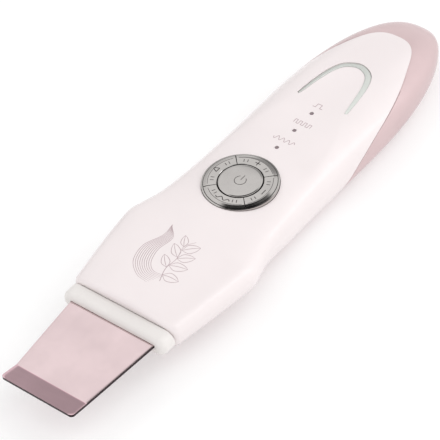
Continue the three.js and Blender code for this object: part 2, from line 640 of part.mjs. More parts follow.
function addStack() {
  const boreEndX = HORN_BACK_X - HORN_STUD_LENGTH;
  const horn = toSolid(layOnStack(turned([
    [0, HORN_FRONT_X], [STACK_RADIUS, HORN_FRONT_X], [STACK_RADIUS, NECK_X - NECK_HALF],
    [NECK_RADIUS, NECK_X - NECK_HALF], [NECK_RADIUS, NECK_X + NECK_HALF], [STACK_RADIUS, NECK_X + NECK_HALF],
    [STACK_RADIUS, HORN_BACK_X], [STACK_BORE, HORN_BACK_X], [STACK_BORE, boreEndX], [0, boreEndX],
  ])));
  const halfSlot = BLADE_THICKNESS / 2 + GAP;
  const fork = toSolid(box(
    [HORN_FRONT_X - 1, -STACK_RADIUS - 1, BLADE_Z - halfSlot],
    [BLADE_TANG_X + 2 * GAP, STACK_RADIUS + 1, BLADE_Z + halfSlot],
  ));
  addPart('transducer_horn', toGeometry(horn.subtract(fork).subtract(pinHole())), STEEL);

  let x = HORN_BACK_X;
  const place = (length) => {
    const low = x + GAP;
    x = low + length;
    return [low, x];
  };
  for (let i = 1; i <= 2; i += 1) {
    const ceramic = place(CERAMIC_LENGTH);
    addPart(`piezo_ring_${i}`, layOnStack(tube(STACK_BORE, STACK_RADIUS, ...ceramic)), CERAMIC);
    const [low, high] = place(ELECTRODE_LENGTH);
    const washer = toSolid(layOnStack(tube(STACK_BORE, STACK_RADIUS, low, high)));
    const side = i === 1 ? 1 : -1;
    const tab = box([low, 3, BLADE_Z - 0.7], [high, 6.2, BLADE_Z + 0.7]);
    if (side < 0) tab.rotateX(Math.PI).translate(0, 0, 2 * BLADE_Z);
    addPart(`electrode_${i}`, toGeometry(washer.add(toSolid(tab))), BRASS);
  }
  const backMass = place(BACK_MASS_LENGTH);
  addPart('back_mass', layOnStack(tube(STACK_BORE, STACK_RADIUS, ...backMass)), STEEL);

  const headStart = x + GAP;
  const headEnd = headStart + 2.2;
  const boltRadius = STACK_BORE - GAP;
  const boltHead = 2.6;
  const bolt = turned([
    [0, boreEndX + 0.4], [boltRadius, boreEndX + 0.4], [boltRadius, headStart],
    [boltHead, headStart], [boltHead, headEnd], [0, headEnd],
  ], 12);
  addPart('preload_bolt', layOnStack(bolt), STEEL);

  const cord = 0.45;
  const seal = new THREE.TorusGeometry(NECK_RADIUS + GAP + cord, cord, 8, 24).rotateY(Math.PI / 2);
  addPart('isolator_ring', seal, SILICONE, [NECK_X, 0, BLADE_Z]);

  const saddleFrontX = -36;
  const saddleBackX = -31;
  const saddle = toSolid(box([saddleFrontX, -7, 7.4], [saddleBackX, 7, BLADE_Z - 0.2]));
  const bed = toSolid(layOnStack(cylinder(STACK_RADIUS + GAP, saddleFrontX - 1, saddleBackX + 1)));
  addPart('transducer_saddle', toGeometry(saddle.subtract(bed)), SILICONE);
}

// ---------------------------------------------------------------- board, battery and socket

function addBoard() {
  let board = toSolid(extrudeUp(
    roundedRectangle([BOARD_FRONT_X, -BOARD_HALF_WIDTH], [BOARD_BACK_X, BOARD_HALF_WIDTH], 2),
    BOARD_Z, BOARD_TOP_Z, 2,
  ));
  for (const [x, y] of BOARD_SCREWS) {
    const hole = cylinder(BOARD_SCREW_SHANK + GAP, BOARD_Z - CLEAR, BOARD_TOP_Z + CLEAR, 12);
    board = board.subtract(toSolid(hole.translate(x, y, 0)));
  }
  addPart('main_board', toGeometry(board), BOARD_GREEN);
  BOARD_SCREWS.forEach(([x, y], i) => {
    const headTop = BOARD_Z - GAP;
    const screw = turned([
      [0, headTop - 1], [BOARD_SCREW_HEAD, headTop - 1], [BOARD_SCREW_HEAD, headTop],
      [BOARD_SCREW_SHANK, headTop], [BOARD_SCREW_SHANK, BOARD_SCREW_TIP_Z], [0, BOARD_SCREW_TIP_Z],
    ], 12);
    addPart(`board_screw_${i + 1}`, screw, STEEL, [x, y, 0]);
  });

  const above = BOARD_TOP_Z + GAP;
  const below = BOARD_Z - GAP;
  addPart('step_up_transformer', box([-22, -4, above], [-14.5, 4, above + 4.6]), BLACK_PLASTIC);
  addPart('controller_chip', box([-6, -3, below - 1.6], [2, 3, below]), BLACK_PLASTIC);
  addPart('inductor', cylinder(2.8, below - 3.4, below, 20), STEEL, [-14, 6, 0]);
  addPart('electrolytic_capacitor', cylinder(2.5, below - 4.4, below, 20), BLACK_PLASTIC, [-14, -6, 0]);
}

function addCaseScrews() {
  CASE_SCREWS.forEach(([x, y, base], i) => {
    const screw = turned([
      [0, CASE_HEAD_LOW], [CASE_SCREW_HEAD - 0.3, CASE_HEAD_LOW], [CASE_SCREW_HEAD, CASE_HEAD_LOW + 0.3],
      [CASE_SCREW_HEAD, CASE_HEAD_HIGH], [CASE_SCREW_SHANK, CASE_HEAD_HIGH],
      [CASE_SCREW_SHANK, CASE_SCREW_TIP], [0, CASE_SCREW_TIP],
    ], 12);
    addPart(`case_screw_${i + 1}`, screw, STEEL, [x, y, base]);
  });
}

function addBattery() {
  const outline = roundedRectangle([CELL_LOW[1], CELL_LOW[2]], [CELL_HIGH[1], CELL_HIGH[2]], 1.5);
  addPart('battery_cell', extrudeAlongX(outline, CELL_LOW[0], CELL_HIGH[0], 0, 3), CELL_FILM);
  addPart('battery_pad', box(PAD_LOW, PAD_HIGH), FOAM);
}

function addSocket() {
  const wall = SOCKET_WALL;
  const shell = toSolid(box(SOCKET_LOW, SOCKET_HIGH));
  const mouth = toSolid(box(
    [SOCKET_LOW[0] + wall, SOCKET_LOW[1] + wall, SOCKET_LOW[2] + wall],
    [SOCKET_HIGH[0] + 1, SOCKET_HIGH[1] - wall, SOCKET_HIGH[2] - wall],
  ));
  const tongueLow = [SOCKET_LOW[0], -2.4, SOCKET_Z - 0.25];
  const tongue = toSolid(box(tongueLow, [SOCKET_HIGH[0] - 1, -tongueLow[1], SOCKET_Z + 0.25]));
  addPart('charging_socket', toGeometry(shell.subtract(mouth).add(tongue)), STEEL);
  addPart('charging_board', box(SOCKET_BOARD_LOW, SOCKET_BOARD_HIGH), BOARD_GREEN);
}

// ---------------------------------------------------------------- wires

function addWire(name, route, finish, radius = 0.45) {
  const path = new THREE.CatmullRomCurve3(route.map((point) => new THREE.Vector3(...point)));
  const section = new THREE.Shape();
  section.absarc(0, 0, radius, 0, 2 * Math.PI, false);
  const settings = { steps: 14, curveSegments: 3, bevelEnabled: false, extrudePath: path };
  addPart(name, new THREE.ExtrudeGeometry(section, settings), finish);
}

function addWires() {
  const solderZ = BOARD_TOP_Z + GAP + 0.6;
  for (const [side, finish, name] of [[1, RED_WIRE, 'red'], [-1, BLACK_WIRE, 'black']]) {
    addWire(`battery_lead_${name}`, [
      [CELL_HIGH[0] + GAP + 0.2, 2.5 * side, 6.5], [53.5, 2.5 * side, 7], [54.8, 2.5 * side, 9.8],
      [51.5, 2.5 * side, 12.6], [46, 2.5 * side, 13.2], [40.5, 2.5 * side, solderZ],
    ], finish);
    addWire(`socket_lead_${name}`, [
      [SOCKET_BOARD_LOW[0] + 3, 2.4 * side, SOCKET_BOARD_HIGH[2] + GAP + 0.6], [78, 3 * side, 9.4],
      [70, 3.2 * side, 10.8], [60, 3.6 * side, 12.8], [50, 5.5 * side, 13.4], [40, 6 * side, solderZ],
    ], finish);
  }
  addWire('stack_lead_1', [
    [-40.95, 6.9, BLADE_Z], [-40, 8.2, 13.4], [-35.5, 8.8, 13.6], [-29.5, 8, 13.7], [-23, 7, solderZ],
  ], YELLOW_WIRE);
  addWire('stack_lead_2', [
    [-38.35, -6.9, BLADE_Z], [-37.4, -8.2, 13.4], [-33.5, -8.8, 13.6], [-28.5, -8, 13.7], [-23, -7, solderZ],
  ], YELLOW_WIRE);
}

addHousing();
addTrim();
addBlade();
addCollar();
addControls();
addLights();
addStack();
addBoard();
addCaseScrews();
addBattery();
addSocket();
addWires();

export default scrubber;
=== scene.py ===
import json
import math

import bmesh
import bpy
import numpy as np
from mathutils import Matrix, Vector
from mathutils.bvhtree import BVHTree
from mathutils.interpolate import poly_3d_calc


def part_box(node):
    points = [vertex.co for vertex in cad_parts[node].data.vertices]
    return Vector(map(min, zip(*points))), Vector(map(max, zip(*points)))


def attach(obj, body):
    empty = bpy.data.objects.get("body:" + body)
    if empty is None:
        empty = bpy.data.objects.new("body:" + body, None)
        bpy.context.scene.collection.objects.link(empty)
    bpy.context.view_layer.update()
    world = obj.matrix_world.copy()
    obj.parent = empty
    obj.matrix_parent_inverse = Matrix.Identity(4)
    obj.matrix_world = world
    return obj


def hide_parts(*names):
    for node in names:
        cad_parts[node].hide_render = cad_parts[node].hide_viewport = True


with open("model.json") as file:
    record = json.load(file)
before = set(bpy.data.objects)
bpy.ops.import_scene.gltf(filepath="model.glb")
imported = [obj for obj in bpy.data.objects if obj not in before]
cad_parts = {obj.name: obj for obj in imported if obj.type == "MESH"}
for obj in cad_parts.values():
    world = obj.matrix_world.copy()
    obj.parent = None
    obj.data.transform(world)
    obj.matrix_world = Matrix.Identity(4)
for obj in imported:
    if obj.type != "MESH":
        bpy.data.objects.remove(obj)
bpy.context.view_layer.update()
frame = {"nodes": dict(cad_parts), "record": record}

MM = 0.001
WELD_DISTANCE = 0.001


def node_box(node):
    """Lowest and highest corner of one node of the frame, in millimetres."""
    low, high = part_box(node)
    return np.array(low) / MM, np.array(high) / MM


def node_centre(node):
    low, high = node_box(node)
    return (low + high) / 2


# Housing: the same driving sizes as the frame's shells
GAP = 0.3
WALL = 2.0
SEAM_GAP = 0.26
NOSE_X = node_box("front_shell")[0][0]
NOSE_ROUND = 2.0
CORNER_X = -26.5
WAIST_X = 3.0
TAPER_X = 44.0
TAIL_X = 100.3
HANDLE_HALF_WIDTH = 20.4
HEAD_HALF_WIDTH = 24.9
TOP_Z = 20.0
TAIL_Z = 9.0
UNDERCUT = 0.6
HANDLE_POWER = 3.3
TAIL_POWER = 2.45
BELLY_POWER = 2.9
TONGUE_X = 87.0
CUT_LOW_Z = 12.0
CUT_HIGH_Z = 30.0

# Trim arch: how deep its groove is, the slack left round it and the steps along it
GROOVE_DEPTH = 0.9
GROOVE_SLACK = 0.06
ARCH_STEPS = 120

# Controls
RING_X = node_centre("control_bezel")[0]
BEZEL_RADIUS = 12.5
BEZEL_BORE = 12.0
BEZEL_SLIT = 0.12
BEZEL_BASE_Z = 15.2
FLANGE_RADIUS = 13.6
FLANGE_TOP_Z = 16.6
KEY_OUTER_RADIUS = 11.8
KEY_SHOULDER_RADIUS = 10.7
KEY_INNER_RADIUS = 7.55
KEY_MIDDLE_RADIUS = 9.6
KEY_SLIT = 0.26
KEY_BASE_Z, KEY_TOP_Z = (corner[2] for corner in node_box("key_head"))
RING_RIM_Z = node_box("control_bezel")[1][2] - 0.13
BUTTON_RADIUS = 7.2
BUTTON_CROWN = 0.22
BUTTON_TOP_Z = node_box("centre_button")[1][2]
KEY_ANGLES = {"key_tail": 0, "key_left": 90, "key_head": 180, "key_right": 270}
LIGHTS = [node_centre(f"light_pipe_{i}")[0] for i in (1, 2, 3)]
LIGHT_RADIUS = 0.55
LIGHT_HOLE_RADIUS = 0.7
LIGHT_HOLE_CHAMFER = 0.05
LIGHT_BASE_Z = 14.1
LIGHT_FLANGE_RADIUS = 1.5
LIGHT_FLANGE_Z = (16.4, 17.4)

# Engraving and printing
MARK_RADIUS = 9.2
MARK_ARC_RADIUS = 10.45
MARK_TICKS = (-30, -22, 22, 30)
MARK_LIFT = 0.012
PRINT_LIFT = 0.015
PRINT_DEPTH = 0.03

# Blade and collar
BLADE_Z = 13.2
BLADE_THICKNESS = 1.0
BLADE_TIP_X, BLADE_TANG_X = (corner[0] for corner in node_box("scraper_blade"))
BLADE_BEND_X = -92.7
BLADE_ROOT_X = -64.2
BLADE_SHOULDER_X = -55.6
BLADE_CORNER = 1.3
BLADE_SLACK = 0.15
BLADE_DROP = 0.4
TANG_HALF_WIDTH = 3.1
LIP_ANGLE = math.radians(10)
COLLAR_FRONT_X = node_box("head_collar")[0][0]
COLLAR_BACK_X = NOSE_X - GAP
COLLAR_Z = 12.6
COLLAR_HALF_WIDTH = 20.2
COLLAR_HALF_HEIGHT = 3.4
COLLAR_ROUND = 1.9
SPIGOT_HALF_WIDTH = 17.5
SPIGOT_HALF_HEIGHT = 2.3

# Screws that hold the two shells: (x, y, height of the housing's outside there)
CASE_SCREWS = [(-45, 12.4, 5.6), (-45, -12.4, 5.6), (60, 7.5, 0), (60, -7.5, 0)]
CASE_SCREW_HEAD = 2.6
SCREW_BOSS_RADIUS = 3.7
SCREW_BOSS_HEIGHT = 4.4
SCREW_SINK = 2.2
SCREW_HOLE_RADIUS = 1.25
SCREW_SHANK_RADIUS = 0.95
RECESS_REACH = 1.35
RECESS_HALF_WIDTH = 0.22
RECESS_DEPTH = 1.45

# Charging socket and the opening for it
PORT_HALF_WIDTH = 4.05
PORT_HALF_HEIGHT = 1.7
PORT_START_X = 94.8
SOCKET_WALL = 0.35
SOCKET_CONTACTS = 6
CONTACT_PITCH = 0.7


# ---------------------------------------------------------------- curves and surfaces


def through(points):
    """Smooth curve through (x, value) points, as a function of x."""
    xs, values = (np.array(column, float) for column in zip(*points))
    before = np.maximum(np.arange(len(xs)) - 1, 0)
    after = np.minimum(np.arange(len(xs)) + 1, len(xs) - 1)
    slopes = (values[after] - values[before]) / (xs[after] - xs[before])

    def curve(x):
        i = np.clip(np.searchsorted(xs, x) - 1, 0, len(xs) - 2)
        span = xs[i + 1] - xs[i]
        t = np.clip((x - xs[i]) / span, 0, 1)
        rise = values[i + 1] - values[i]
        bend_0 = slopes[i] * span - rise
        bend_1 = rise - slopes[i + 1] * span
        return values[i] + rise * t + t * (1 - t) * ((1 - t) * bend_0 + t * bend_1)

    return curve


plain_half_width = through([
    (NOSE_X, 20.3), (-41, 23.2), (CORNER_X - 1.5, HEAD_HALF_WIDTH), (CORNER_X + 1.5, HEAD_HALF_WIDTH),
    (-14.5, 21.8), (-4.5, 20.8), (11, 20.2), (TAPER_X, HANDLE_HALF_WIDTH),
])
plain_top = through([(NOSE_X, 19.1), (CORNER_X, TOP_Z), (WAIST_X, TOP_Z), (TAPER_X, TOP_Z - 0.2)])
plain_belly = through([
    (NOSE_X, 5.6), (CORNER_X, 4.5), (-12, 1.6), (WAIST_X, -UNDERCUT), (TAPER_X, -UNDERCUT),
])
middle = through([(NOSE_X, 12.9), (CORNER_X, 13), (WAIST_X, 10.9), (TAPER_X, 9.2), (TAIL_X, TAIL_Z)])
top_power = through([(TAPER_X, HANDLE_POWER), (TAIL_X, TAIL_POWER)])
seam = through([
    (NOSE_X, 8.9), (CORNER_X, 7.6), (0, 4), (14, 3.4), (26, 4.7), (36, 9.8),
    (44, 13.3), (56, 15.7), (72, 17), (TONGUE_X, 16.3),
])
# The control face is a panel of its own: half width of its edge, how much it is crowned (or dished,
# where negative), and how softly it meets the sides.
panel_edge = through([
    (NOSE_X, 18.4), (-41, 21), (CORNER_X, 22.2), (-14.5, 19.3), (WAIST_X, 17.6), (15.3, 16.4),
    (19.7, 15), (27.6, 12.8), (35.8, 10.9), (43.6, 9.2), (50, 7.9), (56, 6.6), (60.5, 5.2), (63, 3.1),
    (64.4, 0.4),
])
panel_crown = through([
    (NOSE_X, 1.5), (CORNER_X, 1.6), (-5, 2.25), (6, 2.25), (15, 1.5), (20, 0.9), (28, 0.25), (36, -0.05),
    (44, -0.22), (56, -0.28), (62, -0.12), (64.4, 0),
])
panel_softness = through([
    (NOSE_X, 0.9), (CORNER_X, 1.1), (-5, 1.4), (12, 1.4), (25, 0.9), (36, 0.35), (44, 0.2), (64.4, 0.15),
])
PANEL_END_X = 64.4


def tail_share(x, power, root):
    """Share of the full size that is left at x as the tail rounds off."""
    along = np.clip((x - TAPER_X) / (TAIL_X - TAPER_X), 0, 1)
    return (1 - along**power) ** root


def half_width(x):
    return plain_half_width(x) * tail_share(x, 2.2, 0.42)


def top_height(x):
    return TAIL_Z + (plain_top(x) - TAIL_Z) * tail_share(x, 2.4, 0.53)


def belly_height(x):
    return TAIL_Z - (TAIL_Z - plain_belly(x)) * tail_share(x, 2.8, 0.51)


def soft_min(a, b, softness):
    overlap = np.maximum(softness - np.abs(a - b), 0) / softness
    return np.minimum(a, b) - overlap**2 * softness / 4


def round_top(x, y):
    """Height of the plain rounded upper half at (x, y)."""
    up = top_height(x) - middle(x)
    share = np.clip(np.abs(y) / half_width(x), 0, 1)
    return middle(x) + up * (1 - share ** top_power(x)) ** (1 / top_power(x))


def face_height(x, y):
    """Height of the finished upper surface at (x, y), with the control panel worked into it."""
    plain = round_top(x, y)
    edge = panel_edge(np.minimum(x, PANEL_END_X))
    panel = round_top(x, edge) + panel_crown(x) * (1 - (y / edge) ** 2)
    worked = soft_min(plain, panel, panel_softness(x))
    fade = np.clip((x - PANEL_END_X) / 1.5, 0, 1)
    return worked * (1 - fade) + plain * fade


def half_section(x, inset, nose_x, count):
    """Right half of one section of the housing, from the top middle to the bottom middle, as (y, z)."""
    into_nose = max(NOSE_ROUND - (x - nose_x), 0)
    nose_shrink = NOSE_ROUND - math.sqrt(NOSE_ROUND**2 - into_nose**2)
    shrink = inset + nose_shrink
    across = half_width(x) - shrink
    turn = np.linspace(0, math.pi, 1200)
    upper = turn < math.pi / 2
    power = 2 / np.where(upper, top_power(x), BELLY_POWER)
    y = across * np.abs(np.sin(turn)) ** power
    down = middle(x) - belly_height(x) - shrink
    up = top_height(x) - shrink - middle(x)
    z = middle(x) + np.where(upper, up, -down) * np.abs(np.cos(turn)) ** power
    if inset == 0:
        lowered = round_top(x, y) - face_height(x, y)
        z = np.where(upper, z - lowered * (1 - nose_shrink / NOSE_ROUND), z)
    z = np.maximum(z, inset)
    length = np.concatenate([[0], np.cumsum(np.hypot(np.diff(y), np.diff(z)))])
    spots = np.linspace(0, length[-1], count)
    return np.interp(spots, length, y), np.interp(spots, length, z)


def housing_rings(inset, half_count, nose_steps, body_steps, tail_steps):
    """Sections of the whole housing from nose to tail, each a closed ring of points."""
    nose_x = NOSE_X + inset
    tail_x = TAIL_X - 1.3 * inset
    quarter = math.pi / 2
    nose = nose_x + NOSE_ROUND * (1 - np.cos(np.linspace(0, quarter, nose_steps, endpoint=False)))
    body = np.linspace(nose_x + NOSE_ROUND, TAPER_X, body_steps, endpoint=False)
    tail = TAPER_X + (tail_x - TAPER_X) * np.sin(np.linspace(0, 0.985 * quarter, tail_steps))
    rings = []
    for x in np.concatenate([nose, body, tail]):
        y, z = half_section(x, inset, nose_x, half_count)
        y = np.concatenate([y, -y[-2:0:-1]])
        z = np.concatenate([z, z[-2:0:-1]])
        rings.append(np.column_stack([np.full(len(y), x), y, z]))
    return rings


# ---------------------------------------------------------------- mesh tools


def make_object(name, points, faces):
    mesh = bpy.data.meshes.new(name)
    mesh.from_pydata((np.asarray(points, float) * MM).tolist(), [], faces)
    mesh.validate()
    piece = bpy.data.objects.new(name, mesh)
    bpy.context.scene.collection.objects.link(piece)
    work = bmesh.new()
    work.from_mesh(mesh)
    bmesh.ops.recalc_face_normals(work, faces=work.faces)
    work.to_mesh(mesh)
    work.free()
    return piece


def loft(name, rings, closed=False):
    """Skin over equally long rings of points, capped at both ends or, if closed, joined end to end."""
    count = len(rings[0])
    total = len(rings)
    faces = []
    for r in range(total if closed else total - 1):
        here = r * count
        there = ((r + 1) % total) * count
        for i in range(count):
            j = (i + 1) % count
            faces.append((here + i, here + j, there + j, there + i))
    if not closed:
        faces.append(tuple(range(count)))
        faces.append(tuple(range((total - 1) * count, total * count)))
    return make_object(name, np.concatenate(rings), faces)


def turned(name, profile, centre, sides):
    """Turned piece about a vertical axis, from a closed (radius, z) profile."""
    rings = []
    for angle in np.linspace(0, 2 * math.pi, sides, endpoint=False):
        rings.append([
            (centre[0] + r * math.cos(angle), centre[1] + r * math.sin(angle), centre[2] + z)
            for r, z in profile
        ])
    piece = loft(name, rings, closed=True)
    weld(piece)
    return piece


def weld(piece):
    """Joins doubled points, such as those on the axis of a turned piece, and drops loose edges."""
    work = bmesh.new()
    work.from_mesh(piece.data)
    bmesh.ops.remove_doubles(work, verts=work.verts, dist=WELD_DISTANCE * MM)
    bmesh.ops.dissolve_degenerate(work, edges=work.edges, dist=WELD_DISTANCE * MM / 10)
    loose = [edge for edge in work.edges if not edge.link_faces]
    bmesh.ops.delete(work, geom=loose, context="EDGES")
    bmesh.ops.recalc_face_normals(work, faces=work.faces)
    work.to_mesh(piece.data)
    work.free()


def prism(name, outline, low, high):
    """Upright prism on a plan outline of (x, y) points."""
    return loft(name, [[(x, y, z) for x, y in outline] for z in (low, high)])


def apply_modifiers(piece):
    graph = bpy.context.evaluated_depsgraph_get()
    graph.update()
    result = bpy.data.meshes.new_from_object(piece.evaluated_get(graph))
    piece.modifiers.clear()
    piece.data = result


def combine(piece, tool, operation):
    """Cuts piece with tool, joins it to it or keeps what they share, and removes the tool."""
    step = piece.modifiers.new("combine", "BOOLEAN")
    step.operation = operation
    step.solver = "MANIFOLD"
    step.object = tool
    apply_modifiers(piece)
    bpy.data.objects.remove(tool)


def copy_of(piece, name):
    twin = piece.copy()
    twin.data = piece.data.copy()
    twin.name = name
    bpy.context.scene.collection.objects.link(twin)
    return twin


def round_edges(piece, width, segments, angle):
    """Rounds every edge sharper than angle."""
    step = piece.modifiers.new("round", "BEVEL")
    step.width = width * MM
    step.segments = segments
    step.limit_method = "ANGLE"
    step.angle_limit = math.radians(angle)
    apply_modifiers(piece)


def smooth(piece, angle=35):
    piece.data.shade_smooth()
    piece.data.set_sharp_from_angle(angle=math.radians(angle))


def follow_surface(piece, guide):
    """Shades the faces of piece that lie on guide with the smooth normals of guide."""
    guide.data.calc_loop_triangles()
    corners = [vertex.co.copy() for vertex in guide.data.vertices]
    triangles = [tuple(triangle.vertices) for triangle in guide.data.loop_triangles]
    normals = [vertex.normal.copy() for vertex in guide.data.vertices]
    tree = BVHTree.FromPolygons(corners, triangles)
    found = []
    for vertex in piece.data.vertices:
        spot, _, index, distance = tree.find_nearest(vertex.co)
        if distance > 0.01 * MM:
            found.append(None)
            continue
        three = triangles[index]
        shares = poly_3d_calc([corners[k] for k in three], spot)
        blend = sum((normals[k] * share for k, share in zip(three, shares)), Vector())
        found.append(blend.normalized())
    custom = [Vector()] * len(piece.data.loops)
    for face in piece.data.polygons:
        near = [found[index] for index in face.vertices]
        if None in near or min(face.normal.dot(normal) for normal in near) < 0.8:
            continue
        for loop, normal in zip(face.loop_indices, near):
            custom[loop] = normal
    piece.data.normals_split_custom_set(custom)


def triangulate(piece):
    work = bmesh.new()
    work.from_mesh(piece.data)
    bmesh.ops.triangulate(work, faces=work.faces)
    work.to_mesh(piece.data)
    work.free()


def place(piece, material, body="housing", nodes=()):
    """Gives a finished piece its material and its body, and hides the nodes that it stands for."""
    piece.data.materials.clear()
    piece.data.materials.append(material)
    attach(piece, body)
    if nodes:
        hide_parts(*nodes)


# ---------------------------------------------------------------- materials


def new_material(name, colour, roughness, metallic=0.0, **uniform):
    """Principled material. uniform names further sockets, with underscores for spaces."""
    material = bpy.data.materials.new(name)
    material.use_nodes = True
    shader = material.node_tree.nodes["Principled BSDF"]
    shader.inputs["Base Color"].default_value = (*colour, 1)
    shader.inputs["Roughness"].default_value = roughness
    shader.inputs["Metallic"].default_value = metallic
    for socket, value in uniform.items():
        shader.inputs[socket.replace("_", " ")].default_value = value
    return material


def noise_of(material, scale, detail=3.0, stretch=(1, 1, 1)):
    """Noise over the piece. scale counts its features per metre."""
    nodes = material.node_tree.nodes
    links = material.node_tree.links
    place_on = nodes.new("ShaderNodeTexCoord")
    squeeze = nodes.new("ShaderNodeMapping")
    squeeze.inputs["Scale"].default_value = stretch
    noise = nodes.new("ShaderNodeTexNoise")
    noise.inputs["Scale"].default_value = scale
    noise.inputs["Detail"].default_value = detail
    links.new(place_on.outputs["Object"], squeeze.inputs["Vector"])
    links.new(squeeze.outputs["Vector"], noise.inputs["Vector"])
    return noise.outputs["Fac"]


def vary_colour(material, value, dark, light):
    nodes = material.node_tree.nodes
    ramp = nodes.new("ShaderNodeValToRGB")
    ramp.color_ramp.elements[0].position = 0.3
    ramp.color_ramp.elements[1].position = 0.7
    ramp.color_ramp.elements[0].color = (*dark, 1)
    ramp.color_ramp.elements[1].color = (*light, 1)
    material.node_tree.links.new(value, ramp.inputs["Fac"])
    shader = nodes["Principled BSDF"]
    material.node_tree.links.new(ramp.outputs["Color"], shader.inputs["Base Color"])


def vary_roughness(material, value, low, high):
    nodes = material.node_tree.nodes
    spread = nodes.new("ShaderNodeMapRange")
    spread.inputs["From Min"].default_value = 0.3
    spread.inputs["From Max"].default_value = 0.7
    spread.inputs["To Min"].default_value = low
    spread.inputs["To Max"].default_value = high
    material.node_tree.links.new(value, spread.inputs["Value"])
    shader = nodes["Principled BSDF"]
    material.node_tree.links.new(spread.outputs["Result"], shader.inputs["Roughness"])


def roughen(material, value, depth):
    """Relief of the given depth in millimetres."""
    nodes = material.node_tree.nodes
    bump = nodes.new("ShaderNodeBump")
    bump.inputs["Distance"].default_value = depth * MM
    bump.inputs["Strength"].default_value = 1
    material.node_tree.links.new(value, bump.inputs["Height"])
    material.node_tree.links.new(bump.outputs["Normal"], nodes["Principled BSDF"].inputs["Normal"])


def shaded(colour, amount):
    return tuple(min(1, channel * amount) for channel in colour)


def plastic(name, colour, roughness, spread=0.03, grain=0.004, grain_scale=1500, **uniform):
    material = new_material(name, colour, roughness, **uniform)
    cloud = noise_of(material, 60)
    vary_colour(material, cloud, shaded(colour, 1 - spread), shaded(colour, 1 + spread))
    vary_roughness(material, noise_of(material, 400), roughness * 0.85, roughness * 1.15)
    roughen(material, noise_of(material, grain_scale, 2), grain)
    return material


def metal(name, colour, roughness, spread=0.04, grain=0.002, stretch=(1, 1, 1), grain_scale=2500,
          **uniform):
    material = new_material(name, colour, roughness, metallic=1, **uniform)
    cloud = noise_of(material, 90, 4)
    vary_colour(material, cloud, shaded(colour, 1 - spread), shaded(colour, 1 + spread))
    vary_roughness(material, noise_of(material, 500, 4, stretch), roughness * 0.75, roughness * 1.3)
    roughen(material, noise_of(material, grain_scale, 2, stretch), grain)
    return material


pearl_white = plastic("pearl_white", (0.93, 0.865, 0.865), 0.37, 0.012, 0.002, 5000,
                      Coat_Weight=1, Coat_Roughness=0.1, Coat_IOR=1.25, Coat_Tint=(0.92, 0.91, 0.91, 1))
pearl_pink = plastic("pearl_pink", (0.90, 0.73, 0.74), 0.37, 0.04, 0.002, 5000,
                     Metallic=0.15, Coat_Weight=1, Coat_Roughness=0.1, Coat_IOR=1.25,
                     Coat_Tint=(0.77, 0.73, 0.73, 1))
collar_grey = plastic("collar_grey", (0.78, 0.745, 0.725), 0.38, 0.02, 0.004, 2500)
satin_silver = plastic("satin_silver", (0.61, 0.63, 0.60), 0.42, 0.03, 0.002, 2500, Metallic=0.55)
rose_steel = metal("rose_steel", (0.655, 0.525, 0.535), 0.12, 0.05, 0.0006, (0.15, 1, 1))
# lip: a darker, more saturated copy of the blade steel, painted shade for its dark reflection; only the
# brushing across the lip is its own finish
lip_steel_painted_shade = metal("lip_steel_painted_shade", (0.66, 0.455, 0.495), 0.1, 0.04, 0.0004, (1, 0.15, 1))
# near black metal: a painted dark reflection on the blade's edge faces, not a colour of the steel
edge_painted_dark_reflection = metal("edge_painted_dark_reflection", (0.035, 0.022, 0.025), 0.25, 0.1)
chrome = metal("chrome", (0.46, 0.44, 0.425), 0.09, 0.08, 0.0006)
engraved = plastic("engraved", (0.055, 0.045, 0.045), 0.55)
print_ink = plastic("print_ink", (0.47, 0.36, 0.38), 0.5)
smoked_lens = plastic("smoked_lens", (0.22, 0.16, 0.175), 0.3, Coat_Weight=0.5)
silicone = plastic("silicone", (0.62, 0.6, 0.57), 0.65)
steel = metal("steel", (0.6, 0.6, 0.6), 0.3, grain=0.004)
brass = metal("brass", (0.72, 0.52, 0.24), 0.3)
ceramic = plastic("ceramic", (0.72, 0.68, 0.56), 0.5)
circuit_board = plastic("circuit_board", (0.03, 0.16, 0.08), 0.4, 0.15, 0.006)
black_plastic = plastic("black_plastic", (0.022, 0.022, 0.024), 0.5, 0.1, 0.008)
cell_film = metal("cell_film", (0.62, 0.64, 0.67), 0.35, grain=0.01, grain_scale=900)
foam = plastic("foam", (0.045, 0.045, 0.05), 0.9, 0.15, 0.05, 1800)
red_wire = plastic("red_wire", (0.42, 0.02, 0.025), 0.4)
black_wire = plastic("black_wire", (0.018, 0.018, 0.02), 0.4)
yellow_wire = plastic("yellow_wire", (0.62, 0.42, 0.03), 0.4)
gold = metal("gold", (0.8, 0.58, 0.25), 0.22)

SLOT_MATERIALS = {
    "pearl_white": pearl_white, "pearl_pink": pearl_pink, "satin_silver": satin_silver,
    "rose_steel": rose_steel, "soft_grey": collar_grey, "chrome": chrome, "silicone": silicone,
    "smoked_lens": smoked_lens, "steel": steel, "brass": brass, "ceramic": ceramic,
    "circuit_board": circuit_board, "black_plastic": black_plastic, "cell_film": cell_film,
    "foam": foam, "red_wire": red_wire, "black_wire": black_wire, "yellow_wire": yellow_wire,
}


def finish_inner_nodes():
    """Gives every node the material of its slot; those that a finer piece stands for are hidden later,
    when that piece is placed.
    """
    slots = {row["node"]: row["material_slot"] for row in frame["record"]["subparts"]}
    for name, node in frame["nodes"].items():
        node.data.materials.clear()
        node.data.materials.append(SLOT_MATERIALS[slots[name]])


# ---------------------------------------------------------------- housing


